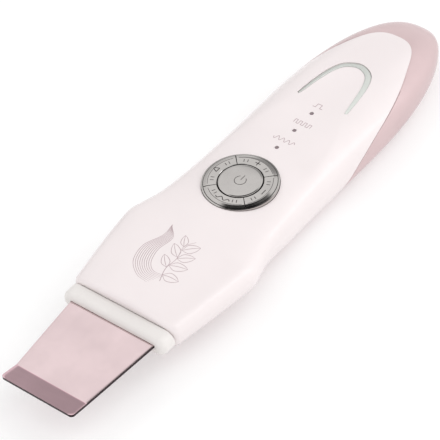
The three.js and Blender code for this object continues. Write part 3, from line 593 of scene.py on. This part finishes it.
def arch_outline(grow):
    """Plan outline of the trim arch, open towards the blade, and its middle line with half widths."""
    leg = [(43.8, 9.5), (52, 8.4), (58.6, 7), (63, 4.6)]
    route = np.array([*leg, (65.05, 0), *[(x, -y) for x, y in leg[::-1]]])
    middle_line = smooth_line(route, ARCH_STEPS)
    forward = np.gradient(middle_line, axis=0)
    forward /= np.linalg.norm(forward, axis=1)[:, None]
    along = np.linspace(0, 1, len(middle_line))
    half = 0.35 + 0.85 * np.sqrt(1 - np.abs(2 * along - 1)) + grow
    side = np.column_stack([-forward[:, 1], forward[:, 0]])
    middle_line[0] -= forward[0] * grow
    middle_line[-1] += forward[-1] * grow
    left = middle_line + side * half[:, None]
    right = middle_line - side * half[:, None]
    return left, right


def smooth_line(points, steps):
    """Catmull-Rom curve through points, with about the given number of steps."""
    points = np.asarray(points, float)
    padded = np.vstack([2 * points[0] - points[1], points, 2 * points[-1] - points[-2]])
    spans = len(points) - 1
    each = max(2, round(steps / spans))
    line = []
    for k in range(spans):
        p0, p1, p2, p3 = padded[k : k + 4]
        for t in np.linspace(0, 1, each, endpoint=False):
            line.append(0.5 * (
                2 * p1 + (p2 - p0) * t + (2 * p0 - 5 * p1 + 4 * p2 - p3) * t**2
                + (3 * p1 - p0 - 3 * p2 + p3) * t**3
            ))
    line.append(points[-1])
    return np.array(line)


def above_seam(offset):
    """Everything above the parting line, with the line moved by offset."""
    xs = np.linspace(NOSE_X - 5, TONGUE_X + 1.5 - offset, 140)
    line = seam(np.clip(xs, NOSE_X, TONGUE_X)) + offset
    line -= np.maximum(xs - TONGUE_X, 0) * 0.05
    outline = [*zip(xs, line), (xs[-1], CUT_HIGH_Z), (xs[0], CUT_HIGH_Z)]
    reach = HEAD_HALF_WIDTH + 5
    return loft("above_seam", [[(x, y, z) for x, z in outline] for y in (-reach, reach)])


def upright(radius, low, high, x, y, sides=64):
    profile = [(0, low), (radius, low), (radius, high), (0, high)]
    return turned("tool", profile, (x, y, 0), sides)


def light_hole(x):
    """Cutter for the hole of a light, with a small chamfer at its mouth."""
    mouth = float(face_height(x, 0))
    chamfer = LIGHT_HOLE_CHAMFER
    narrow = LIGHT_HOLE_RADIUS
    wide = narrow + 2 * chamfer
    profile = [
        (0, CUT_LOW_Z), (narrow, CUT_LOW_Z), (narrow, mouth - chamfer), (wide, mouth + chamfer),
        (wide, mouth + 3), (0, mouth + 3),
    ]
    return turned("tool", profile, (x, 0, 0), 96)


def stadium(half_across, half_height, z, x, count=48):
    """Ring of points round a slot shape with round ends, facing along X."""
    straight = half_across - half_height
    ring = []
    for k in range(count):
        angle = -math.pi / 2 + 2 * math.pi * (k + 0.5) / count
        side = 1 if k < count / 2 else -1
        y = side * straight + half_height * math.cos(angle)
        ring.append((x, y, z + half_height * math.sin(angle)))
    return ring


def pill_block(name, half_across, half_height, z, low, high):
    return loft(name, [stadium(half_across, half_height, z, x) for x in (low, high)])


def arch_groove():
    """Cutter for the groove that the trim arch sits in; its floor follows the face."""
    left, right = arch_outline(GROOVE_SLACK)
    rings = []
    for a, b in zip(left, right):
        floor = [float(face_height(*point)) - GROOVE_DEPTH for point in (a, b)]
        rings.append([
            (*a, floor[0]), (*b, floor[1]), (*b, floor[1] + 4), (*a, floor[0] + 4),
        ])
    return loft("groove", rings)


def build_housing():
    """Upper and lower shell, cut from one smooth skin along the parting line."""
    skin = loft("skin", housing_rings(0, 72, 8, 150, 90))
    triangulate(skin)
    skin.data.shade_smooth()
    shell = copy_of(skin, "shell")
    combine(shell, loft("hollow", housing_rings(WALL, 20, 3, 24, 16)), "DIFFERENCE")
    build_upper_shell(shell, skin)
    build_lower_shell(shell, skin)
    bpy.data.objects.remove(skin)


def build_upper_shell(shell, skin):
    """Upper part of the shell, opened for the ring, the lights, the trim arch and the blade."""
    front = copy_of(shell, "upper_shell")
    combine(front, above_seam(SEAM_GAP / 2), "INTERSECT")
    ring_hole = upright(BEZEL_RADIUS + BEZEL_SLIT, CUT_LOW_Z, CUT_HIGH_Z, RING_X, 0, 160)
    combine(front, ring_hole, "DIFFERENCE")
    for x in LIGHTS:
        combine(front, light_hole(x), "DIFFERENCE")
    combine(front, arch_groove(), "DIFFERENCE")
    mouth = pill_block(
        "mouth", SPIGOT_HALF_WIDTH + GAP, SPIGOT_HALF_HEIGHT + GAP, BLADE_Z, NOSE_X - 5, NOSE_X + 3,
    )
    combine(front, mouth, "DIFFERENCE")
    smooth(front)
    follow_surface(front, skin)
    place(front, pearl_white, nodes=["front_shell"])


def build_lower_shell(rear, skin):
    """What the parting line leaves of the shell, with screw bosses and the opening for the socket."""
    rear.name = "lower_shell"
    combine(rear, above_seam(-SEAM_GAP / 2), "DIFFERENCE")
    for x, y, base in CASE_SCREWS:
        boss = upright(SCREW_BOSS_RADIUS, base - 2, base + SCREW_BOSS_HEIGHT, x, y)
        combine(boss, copy_of(skin, "keep"), "INTERSECT")
        combine(rear, boss, "UNION")
        combine(rear, upright(CASE_SCREW_HEAD + GAP, base - 5, base + SCREW_SINK, x, y), "DIFFERENCE")
        combine(rear, upright(SCREW_HOLE_RADIUS, base, base + 6, x, y), "DIFFERENCE")
    socket_z = node_centre("charging_socket")[2]
    port = pill_block("port", PORT_HALF_WIDTH, PORT_HALF_HEIGHT, socket_z, PORT_START_X, TAIL_X + 5)
    combine(rear, port, "DIFFERENCE")
    smooth(rear)
    follow_surface(rear, skin)
    place(rear, pearl_pink, nodes=["rear_shell"])


def build_arch():
    """Satin trim strip along the panel's tail end, tilted outwards and softly crowned."""
    outer, inner = arch_outline(0)
    # (share of the way from the outer edge to the inner one, height over the face)
    section = [
        (0, -0.8), (0, -0.36), (0.07, -0.26), (0.3, -0.1), (0.7, 0.1), (0.93, 0.2), (1, 0.12), (1, -0.8),
    ]
    rings = []
    for a, b in zip(outer, inner):
        ring = []
        for share, lift in section:
            x, y = a + (b - a) * share
            ring.append((x, y, float(face_height(x, y)) + lift))
        rings.append(ring)
    arch = loft("trim_strip", rings)
    smooth(arch, 40)
    place(arch, satin_silver, nodes=["trim_arch"])


# ---------------------------------------------------------------- blade and collar


def blade_half_width(x):
    """Half width of the blade plate, which narrows to its bend and spreads a little over the lip."""
    plain = np.interp(x, [BLADE_TIP_X, BLADE_BEND_X, BLADE_ROOT_X], [14, 13.8, 16.4])
    into = np.clip(BLADE_TIP_X + BLADE_CORNER - x, 0, BLADE_CORNER)
    return plain - (BLADE_CORNER - np.sqrt(BLADE_CORNER**2 - into**2))


def blade_height(x):
    """Height of the blade's middle plane: straight, then bent up at the lip."""
    bend_radius = 4.0
    start = BLADE_BEND_X + bend_radius * math.tan(LIP_ANGLE / 2)
    end = start - bend_radius * math.sin(LIP_ANGLE)
    plate = BLADE_Z - BLADE_DROP * np.clip((BLADE_ROOT_X - x) / (BLADE_ROOT_X - start), 0, 1)
    on_arc = bend_radius - np.sqrt(bend_radius**2 - np.clip(start - x, 0, start - end) ** 2)
    return plate + on_arc + np.maximum(end - x, 0) * math.tan(LIP_ANGLE)


def build_blade():
    """Flat blade with a bent lip and a narrow tang; its edge faces carry a painted dark reflection, and
    its lip painted shade.
    """
    tip = BLADE_TIP_X + BLADE_CORNER * (1 - np.cos(np.linspace(0, math.pi / 2, 10)))
    lip = np.linspace(tip[-1], BLADE_BEND_X - 0.6, 12)[1:]
    bend = np.linspace(BLADE_BEND_X - 0.5, BLADE_BEND_X + 0.6, 14)
    plate = np.linspace(BLADE_BEND_X + 1, BLADE_SHOULDER_X - 0.2, 40)
    steps = 24
    half = BLADE_THICKNESS / 2
    rings = []
    for x in np.concatenate([tip, lip, bend, plate, [BLADE_SHOULDER_X + 0.1, BLADE_TANG_X]]):
        wide = TANG_HALF_WIDTH if x > BLADE_SHOULDER_X else blade_half_width(x)
        row = np.linspace(-wide, wide, steps)
        z = float(blade_height(x))
        rings.append([(x, y, z + half) for y in row] + [(x, y, z - half) for y in row[::-1]])
    blade = loft("spatula_blade", rings)
    round_edges(blade, 0.14, 3, 50)
    smooth(blade, 30)
    place(blade, rose_steel, nodes=["scraper_blade"])
    blade.data.materials.append(edge_painted_dark_reflection)
    blade.data.materials.append(lip_steel_painted_shade)
    # edge faces get the painted dark reflection; faces on the lip get the painted-shade copy of the
    # blade steel
    for face in blade.data.polygons:
        if abs(face.normal.z) < 0.6:
            face.material_index = 1
        elif face.center.x < (BLADE_BEND_X + 0.1) * MM:
            face.material_index = 2


def build_collar():
    """Nose collar with fully rounded ends and a rounded front edge, slotted for the blade."""
    rings = []
    for angle in np.linspace(0, math.pi / 2, 9):
        shrink = COLLAR_ROUND * (1 - math.sin(angle))
        x = COLLAR_FRONT_X + COLLAR_ROUND * (1 - math.cos(angle))
        rings.append(stadium(COLLAR_HALF_WIDTH - shrink, COLLAR_HALF_HEIGHT - shrink, COLLAR_Z, x, 96))
    for back_off, shrink in ((0.3, 0), (0.1, 0.08), (0, 0.25), (0, 0.6), (-0.22, 0.65)):
        x = COLLAR_BACK_X - back_off
        rings.append(stadium(COLLAR_HALF_WIDTH - shrink, COLLAR_HALF_HEIGHT - shrink, COLLAR_Z, x, 96))
    collar = loft("nose_collar", rings)
    spigot = pill_block(
        "spigot", SPIGOT_HALF_WIDTH, SPIGOT_HALF_HEIGHT, BLADE_Z, COLLAR_BACK_X - 1, NOSE_X + 2.4,
    )
    combine(collar, spigot, "UNION")
    slot_half = BLADE_THICKNESS / 2 + BLADE_SLACK
    front_x, back_x, side = -70, -54, 16.6
    corners = [(front_x, -side), (back_x, -side), (back_x, side), (front_x, side)]
    combine(collar, prism("slot", corners, BLADE_Z - slot_half, BLADE_Z + slot_half), "DIFFERENCE")
    smooth(collar, 40)
    place(collar, collar_grey, nodes=["head_collar"])


# ---------------------------------------------------------------- controls


def ring_surface(radius):
    """Height of the ring's upper surface: flat, then a plain bevel down to the rim."""
    share = np.clip((radius - KEY_SHOULDER_RADIUS) / (BEZEL_RADIUS - KEY_SHOULDER_RADIUS), 0, 1)
    return KEY_TOP_Z - (KEY_TOP_Z - RING_RIM_Z) * share


def key_profile():
    """Closed (radius, z) outline of a ring key."""
    radii = np.concatenate([
        [KEY_INNER_RADIUS + 0.12], np.linspace(KEY_INNER_RADIUS + 0.4, KEY_OUTER_RADIUS, 16),
    ])
    return [
        (KEY_INNER_RADIUS, KEY_BASE_Z), (KEY_INNER_RADIUS, KEY_TOP_Z - 0.12),
        *[(r, float(ring_surface(r))) for r in radii], (KEY_OUTER_RADIUS, KEY_BASE_Z),
    ]


def build_key(name, angle):
    """One chrome quarter of the ring."""
    half_turn = math.pi / 4 - KEY_SLIT / 2 / KEY_MIDDLE_RADIUS
    rings = []
    for turn in np.linspace(angle - half_turn, angle + half_turn, 40):
        rings.append([
            (RING_X + r * math.cos(turn), r * math.sin(turn), z) for r, z in key_profile()
        ])
    key = loft(f"{name}_cap", rings)
    smooth(key, 40)
    place(key, chrome, name, [name])


def build_bezel():
    """Rim round the keys, with a flange under the housing."""
    rim = [(r, float(ring_surface(r)) - 0.04) for r in np.linspace(BEZEL_BORE, BEZEL_RADIUS, 8)]
    profile = [
        (BEZEL_BORE, BEZEL_BASE_Z), *rim, (BEZEL_RADIUS, FLANGE_TOP_Z), (FLANGE_RADIUS, FLANGE_TOP_Z),
        (FLANGE_RADIUS, BEZEL_BASE_Z),
    ]
    bezel = turned("ring_bezel", profile, (RING_X, 0, 0), 160)
    smooth(bezel, 40)
    place(bezel, chrome, nodes=["control_bezel"])


def build_button():
    """Low domed centre button with a rounded rim."""
    rim = BUTTON_RADIUS
    dome = [(r, BUTTON_TOP_Z - BUTTON_CROWN * (r / rim) ** 2) for r in np.linspace(0, rim - 0.25, 14)]
    edge = dome[-1][1]
    profile = [(0, KEY_BASE_Z), *dome, (rim - 0.08, edge - 0.07), (rim, edge - 0.25), (rim, KEY_BASE_Z)]
    button = turned("button_cap", profile, (RING_X, 0, 0), 128)
    smooth(button, 40)
    place(button, chrome, "centre_button", ["centre_button"])


def button_height(x, y):
    return BUTTON_TOP_Z - BUTTON_CROWN * (np.hypot(x - RING_X, y) / BUTTON_RADIUS) ** 2


def ring_height(x, y):
    return float(ring_surface(np.hypot(x - RING_X, y)))


def ribbon(name, lines, height, widths, lift=PRINT_LIFT):
    """Thin marks laid on a surface. Each line is a list of (x, y) points with a half width."""
    points = []
    faces = []
    for line, width in zip(lines, widths):
        line = np.asarray(line, float)
        forward = np.gradient(line, axis=0)
        forward /= np.maximum(np.linalg.norm(forward, axis=1), 1e-6)[:, None]
        side = np.column_stack([-forward[:, 1], forward[:, 0]]) * np.reshape(width, (-1, 1))
        start = len(points)
        for spot, reach in zip(line, side):
            a, b = spot + reach, spot - reach
            top_a, top_b = float(height(*a)) + lift, float(height(*b)) + lift
            points += [
                (*a, top_a), (*b, top_b), (*b, top_b - PRINT_DEPTH), (*a, top_a - PRINT_DEPTH),
            ]
        end = len(points)
        for here in range(start, end - 4, 4):
            for k in range(4):
                after = (k + 1) % 4
                faces.append((here + k, here + after, here + 4 + after, here + 4 + k))
        faces += [tuple(range(start, start + 4)), tuple(range(end - 4, end))]
    piece = make_object(name, points, faces)
    smooth(piece, 40)
    return piece


def arc(radius, start, end, centre=(0, 0)):
    turns = np.radians(np.linspace(start, end, 40))
    return [(centre[0] + radius * math.cos(t), centre[1] + radius * math.sin(t)) for t in turns]


def bar(start, end):
    return np.linspace(start, end, 6)


def key_marks():
    """Plain symbols engraved on the four keys, drawn about the ring's centre facing +X."""
    out = MARK_RADIUS
    plus = [bar((out - 1, 0), (out + 1, 0)), bar((out, -1), (out, 1))]
    minus = [bar((out, -1.1), (out, 1.1))]
    wave = [[(out + 0.5 * math.sin(t), t * 0.42) for t in np.linspace(-2 * math.pi, 2 * math.pi, 40)]]
    drop = []
    for t in np.linspace(-math.pi, math.pi, 32):
        long = 1.3 * math.cos(t) * (0.6 + 0.4 * math.cos(t))
        drop.append((out + long, 0.8 * math.sin(t) * (1 - 0.35 * math.cos(t))))
    return {"key_tail": plus, "key_right": minus, "key_left": [drop], "key_head": wave}


def turn_about_ring(line, angle):
    c, s = math.cos(angle), math.sin(angle)
    return [(RING_X + c * x - s * y, s * x + c * y) for x, y in line]


def build_marks():
    """Engraving on the keys and the button."""
    for name, symbol in key_marks().items():
        angle = math.radians(KEY_ANGLES[name])
        lines = [turn_about_ring(line, angle) for line in symbol]
        lines.append(turn_about_ring(arc(MARK_ARC_RADIUS, -40, 40), angle))
        for tick in np.radians(MARK_TICKS):
            stroke = [(r * math.cos(tick), r * math.sin(tick)) for r in np.linspace(8.5, 9.7, 4)]
            lines.append(turn_about_ring(stroke, angle))
        widths = [0.15] * len(symbol) + [0.08] + [0.12] * len(MARK_TICKS)
        marks = ribbon(f"{name}_marks", lines, ring_height, widths, MARK_LIFT)
        place(marks, engraved, name)
    power = [arc(1.9, 35, 325, (RING_X, 0)), bar((RING_X + 0.2, 0), (RING_X + 2.5, 0))]
    button_marks = ribbon("button_marks", power, button_height, [0.11, 0.11], MARK_LIFT)
    place(button_marks, engraved, "centre_button")


def build_lights():
    """Smoked lens of each light, sunk a little below the face."""
    for i, x in enumerate(LIGHTS):
        top = float(face_height(x, 0)) - 0.1
        dome = [(r, top - 0.2 * r**2) for r in np.linspace(0, LIGHT_RADIUS, 6)]
        low, high = LIGHT_FLANGE_Z
        profile = [
            (0, LIGHT_BASE_Z), *dome, (LIGHT_RADIUS, high), (LIGHT_FLANGE_RADIUS, high),
            (LIGHT_FLANGE_RADIUS, low), (LIGHT_RADIUS, low), (LIGHT_RADIUS, LIGHT_BASE_Z),
        ]
        lens = turned(f"light_lens_{i + 1}", profile, (x, 0, 0), 48)
        smooth(lens, 40)
        place(lens, smoked_lens, nodes=[f"light_pipe_{i + 1}"])


# ---------------------------------------------------------------- printing


def light_symbols():
    """Signs for the three ways the blade works: steady wave, pulses, single pulse."""
    first, second, third = (x + 3.9 for x in LIGHTS)
    swings = np.linspace(-4 * math.pi, 4 * math.pi, 80)
    steady = [(first + 0.8 * math.sin(t), t * 0.32) for t in swings]
    pulses = []
    for k in range(4):
        y = -3.6 + 1.8 * k
        for x, step in ((-0.8, 0), (0.8, 0), (0.8, 0.9), (-0.8, 0.9)):
            pulses.append((second + x, y + step))
    corners = [(-0.8, 1.9), (-0.8, 0.8), (0.9, 0.8), (0.9, -0.8), (-0.8, -0.8), (-0.8, -1.9)]
    single = [(third + x, y) for x, y in corners]
    return [steady, dense(pulses), dense(single)]


def dense(corners):
    """The same broken line with many points along it, so that its corners stay sharp."""
    step = 0.12
    line = []
    for a, b in zip(corners[:-1], corners[1:]):
        count = max(1, int(math.dist(a, b) / step))
        line += list(np.linspace(a, b, count, endpoint=False))
    return np.array([*line, corners[-1]])


def leaf(base, tip, bulge):
    """Outline and midrib of a leaf as three lines."""
    base = np.array(base, float)
    tip = np.array(tip, float)
    along = tip - base
    side = np.array([-along[1], along[0]]) * bulge
    lines = [smooth_line([base, base + along * 0.5 + side * 0.15, tip], 14)]
    for sign in (1, -1):
        full = base + along * 0.35 + side * sign
        near_tip = base + along * 0.75 + side * sign * 0.7
        lines.append(smooth_line([base, full, near_tip, tip], 18))
    return lines


# (foot, tip, half width as a share of the length)
SPRIG_LEAVES = [
    ((-43.5, -3.7), (-43, -9.6), 0.28), ((-39.5, -3), (-37.6, -9), 0.26),
    ((-36, -3.4), (-32.8, -8.2), 0.27), ((-32.5, -2.6), (-28.6, -7), 0.28),
    ((-40.5, -2.9), (-36.6, 1), 0.24), ((-35.5, -3.2), (-31.4, 1.2), 0.24),
    ((-31, -2.2), (-27, 0.2), 0.25),
]


def sprig_lines():
    """A sprig of leaves with a sheaf of long grass sweeping round it."""
    lines = []
    widths = []
    blades = 9
    for k in range(blades):
        share = k / (blades - 1)
        bow = [
            (-25.5 - 0.8 * share, 6.6 - 0.5 * share),
            (-30.5 + 0.5 * share, 6.4 - 3.4 * share),
            (-37 + 1.2 * share, 9.1 - 5.2 * share),
            (-43.5 + 2.4 * share, 7.8 - 5.2 * share),
            (-47.6 + 3.8 * share, 3.2 - 3.6 * share),
            (-48.5 + 5 * share, -1.5 - 3.4 * share),
        ]
        line = smooth_line(bow, 48)
        lines.append(line)
        widths.append(0.08 * np.sin(np.linspace(0.25, math.pi - 0.1, len(line))) + 0.02)
    stem = smooth_line([(-46, -4.6), (-41, -3), (-36, -3.4), (-31, -2.2), (-27.5, -4.4)], 40)
    lines.append(stem)
    widths.append(np.linspace(0.12, 0.05, len(stem)))
    for base, tip, bulge in SPRIG_LEAVES:
        for line in leaf(base, tip, bulge):
            lines.append(line)
            widths.append(0.07 * np.sin(np.linspace(0.3, math.pi - 0.15, len(line))) + 0.03)
    return lines, widths


def build_printing():
    """Thin line printing on the face: the signs by the lights and the sprig on the head."""
    symbols = ribbon("light_symbols", light_symbols(), face_height, [0.11, 0.11, 0.12])
    place(symbols, print_ink)
    lines, widths = sprig_lines()
    place(ribbon("sprig_print", lines, face_height, widths), print_ink)


# ---------------------------------------------------------------- underside


def build_screws():
    """Case screws with a rounded head and a cross recess."""
    for i, (x, y, base) in enumerate(CASE_SCREWS):
        head = CASE_SCREW_HEAD
        profile = [
            (0, 0.6), (head - 0.9, 0.62), (head - 0.4, 0.72), (head - 0.1, 0.95), (head, 1.25),
            (head, 1.9), (SCREW_SHANK_RADIUS, 1.9), (SCREW_SHANK_RADIUS, 9.2), (0.6, 9.6), (0, 9.6),
        ]
        screw = turned(f"shell_screw_{i + 1}", profile, (x, y, base), 48)
        for turn in (20, 110):
            c, s = math.cos(math.radians(turn)), math.sin(math.radians(turn))
            outline = []
            for along, across in ((1, -1), (1, 1), (-1, 1), (-1, -1)):
                u = along * RECESS_REACH
                v = across * RECESS_HALF_WIDTH
                outline.append((x + c * u - s * v, y + s * u + c * v))
            combine(screw, prism("cross", outline, base, base + RECESS_DEPTH), "DIFFERENCE")
        smooth(screw, 35)
        place(screw, steel, nodes=[f"case_screw_{i + 1}"])


def build_socket():
    """Charging receptacle: a drawn steel shell round a tongue with gold contacts."""
    low, high = node_box("charging_socket")
    z = (low[2] + high[2]) / 2
    wide, tall = high[1], (high[2] - low[2]) / 2
    shell = loft("socket_shell", [
        stadium(wide, tall, z, low[0]), stadium(wide, tall, z, high[0] - 0.1),
        stadium(wide - 0.1, tall - 0.1, z, high[0]),
    ])
    mouth = pill_block(
        "mouth", wide - SOCKET_WALL, tall - SOCKET_WALL, z, low[0] + 0.4, high[0] + 1,
    )
    combine(shell, mouth, "DIFFERENCE")
    smooth(shell, 35)
    place(shell, steel, nodes=["charging_socket"])
    tongue = loft("socket_tongue", [
        stadium(2.4, 0.25, z, low[0] + 0.3), stadium(2.4, 0.25, z, high[0] - 1.2),
        stadium(2.25, 0.12, z, high[0] - 1),
    ])
    smooth(tongue, 50)
    place(tongue, black_plastic)
    contacts = []
    for k in range(SOCKET_CONTACTS):
        y = -1.75 + CONTACT_PITCH * k
        contacts.append(bar((high[0] - 3.6, y), (high[0] - 1.5, y)))
    pads = ribbon("socket_contacts", contacts, lambda x, y: z + 0.25, [0.15] * len(contacts))
    place(pads, gold)


# ---------------------------------------------------------------- studio

CAMERA_PLACE = (-416.4, -375.5, 574.9)
CAMERA_TARGET = (-16.3, -5, 20)
CAMERA_ROLL = math.radians(-6.9)
CAMERA_LENS = 205.5
FLOOR_CORNERS = [(-6000, -6000), (6000, -6000), (6000, 6000), (-6000, 6000)]
FLOOR_Z = -0.05
STUDIO_LEVEL = 1.19
# (azimuth, elevation, outer reach, dark core, all in degrees, light left in the core)
CURTAINS = [
    (29, 31, 14, 6, 0.42), (222, 42, 30, 12, 0.35), (50, 71, 14, 8, 0.05), (22, 63, 11, 5, 0.1),
    (85, -10, 62, 25, 0.5),
]


def toward(azimuth, elevation):
    a, e = math.radians(azimuth), math.radians(elevation)
    return Vector((math.cos(a) * math.cos(e), math.sin(a) * math.cos(e), math.sin(e)))


def look_at(thing, location, target, roll=0.0):
    """Points a camera or light from location at target, both in millimetres, then rolls it."""
    forward = (Vector(target) - Vector(location)).normalized()
    right = forward.cross(Vector((0, 0, 1))).normalized()
    up = right.cross(forward)
    right_rolled = right * math.cos(roll) + up * math.sin(roll)
    up_rolled = up * math.cos(roll) - right * math.sin(roll)
    turn = Matrix((right_rolled, up_rolled, -forward)).transposed().to_4x4()
    thing.matrix_world = Matrix.Translation(Vector(location) * MM) @ turn


def build_camera():
    data = bpy.data.cameras.new("camera")
    data.lens = CAMERA_LENS
    data.sensor_width = 36
    data.clip_start = 0.01
    camera = bpy.data.objects.new("camera", data)
    bpy.context.scene.collection.objects.link(camera)
    look_at(camera, CAMERA_PLACE, CAMERA_TARGET, CAMERA_ROLL)
    bpy.context.scene.camera = camera


def softbox(name, azimuth, elevation, distance, width, height, power):
    """Rectangular lamp at a distance, in metres, turned to the object."""
    data = bpy.data.lights.new(name, "AREA")
    data.shape = "RECTANGLE"
    data.size = width
    data.size_y = height
    data.energy = power
    light = bpy.data.objects.new(name, data)
    bpy.context.scene.collection.objects.link(light)
    look_at(light, toward(azimuth, elevation) * distance / MM, (0, 0, 10))


def build_studio():
    """Pale floor, bright surroundings and one long lamp that draws the highlight on the shoulder."""
    floor = make_object("floor", [(x, y, FLOOR_Z) for x, y in FLOOR_CORNERS], [(0, 1, 2, 3)])
    pale = plastic("floor_pale", (0.68, 0.68, 0.68), 0.8, 0.004, 0, 100, Specular_IOR_Level=0,
                   Emission_Color=(1, 1, 1, 1), Emission_Strength=0.33)
    floor.data.materials.append(pale)

    build_world()
    softbox("shoulder_strip", azimuth=-50, elevation=41, distance=1.2, width=0.3, height=1.2, power=2.2)
    bpy.context.scene.view_settings.view_transform = "Standard"


def build_world():
    """White studio all round, with dark curtains that the polished parts pick up."""
    world = bpy.data.worlds.new("studio")
    world.use_nodes = True
    nodes = world.node_tree.nodes
    links = world.node_tree.links
    direction = nodes.new("ShaderNodeTexCoord")
    level = None
    for azimuth, elevation, reach, core, light_left in CURTAINS:
        facing = nodes.new("ShaderNodeVectorMath")
        facing.operation = "DOT_PRODUCT"
        facing.inputs[1].default_value = toward(azimuth, elevation)
        links.new(direction.outputs["Generated"], facing.inputs[0])
        shade = nodes.new("ShaderNodeMapRange")
        shade.interpolation_type = "SMOOTHSTEP"
        shade.inputs["From Min"].default_value = math.cos(math.radians(reach))
        shade.inputs["From Max"].default_value = math.cos(math.radians(core))
        shade.inputs["To Min"].default_value = 1
        shade.inputs["To Max"].default_value = light_left
        links.new(facing.outputs["Value"], shade.inputs["Value"])
        if level is None:
            level = shade.outputs["Result"]
            continue
        both = nodes.new("ShaderNodeMath")
        both.operation = "MULTIPLY"
        links.new(level, both.inputs[0])
        links.new(shade.outputs["Result"], both.inputs[1])
        level = both.outputs["Value"]
    links.new(level, nodes["Background"].inputs["Color"])
    nodes["Background"].inputs["Strength"].default_value = STUDIO_LEVEL
    bpy.context.scene.world = world


build_camera()
build_studio()
finish_inner_nodes()
build_housing()
build_arch()
build_blade()
build_collar()
build_bezel()
for key, degrees in KEY_ANGLES.items():
    build_key(key, math.radians(degrees))
build_button()
build_marks()
build_lights()
build_printing()
build_screws()
build_socket()
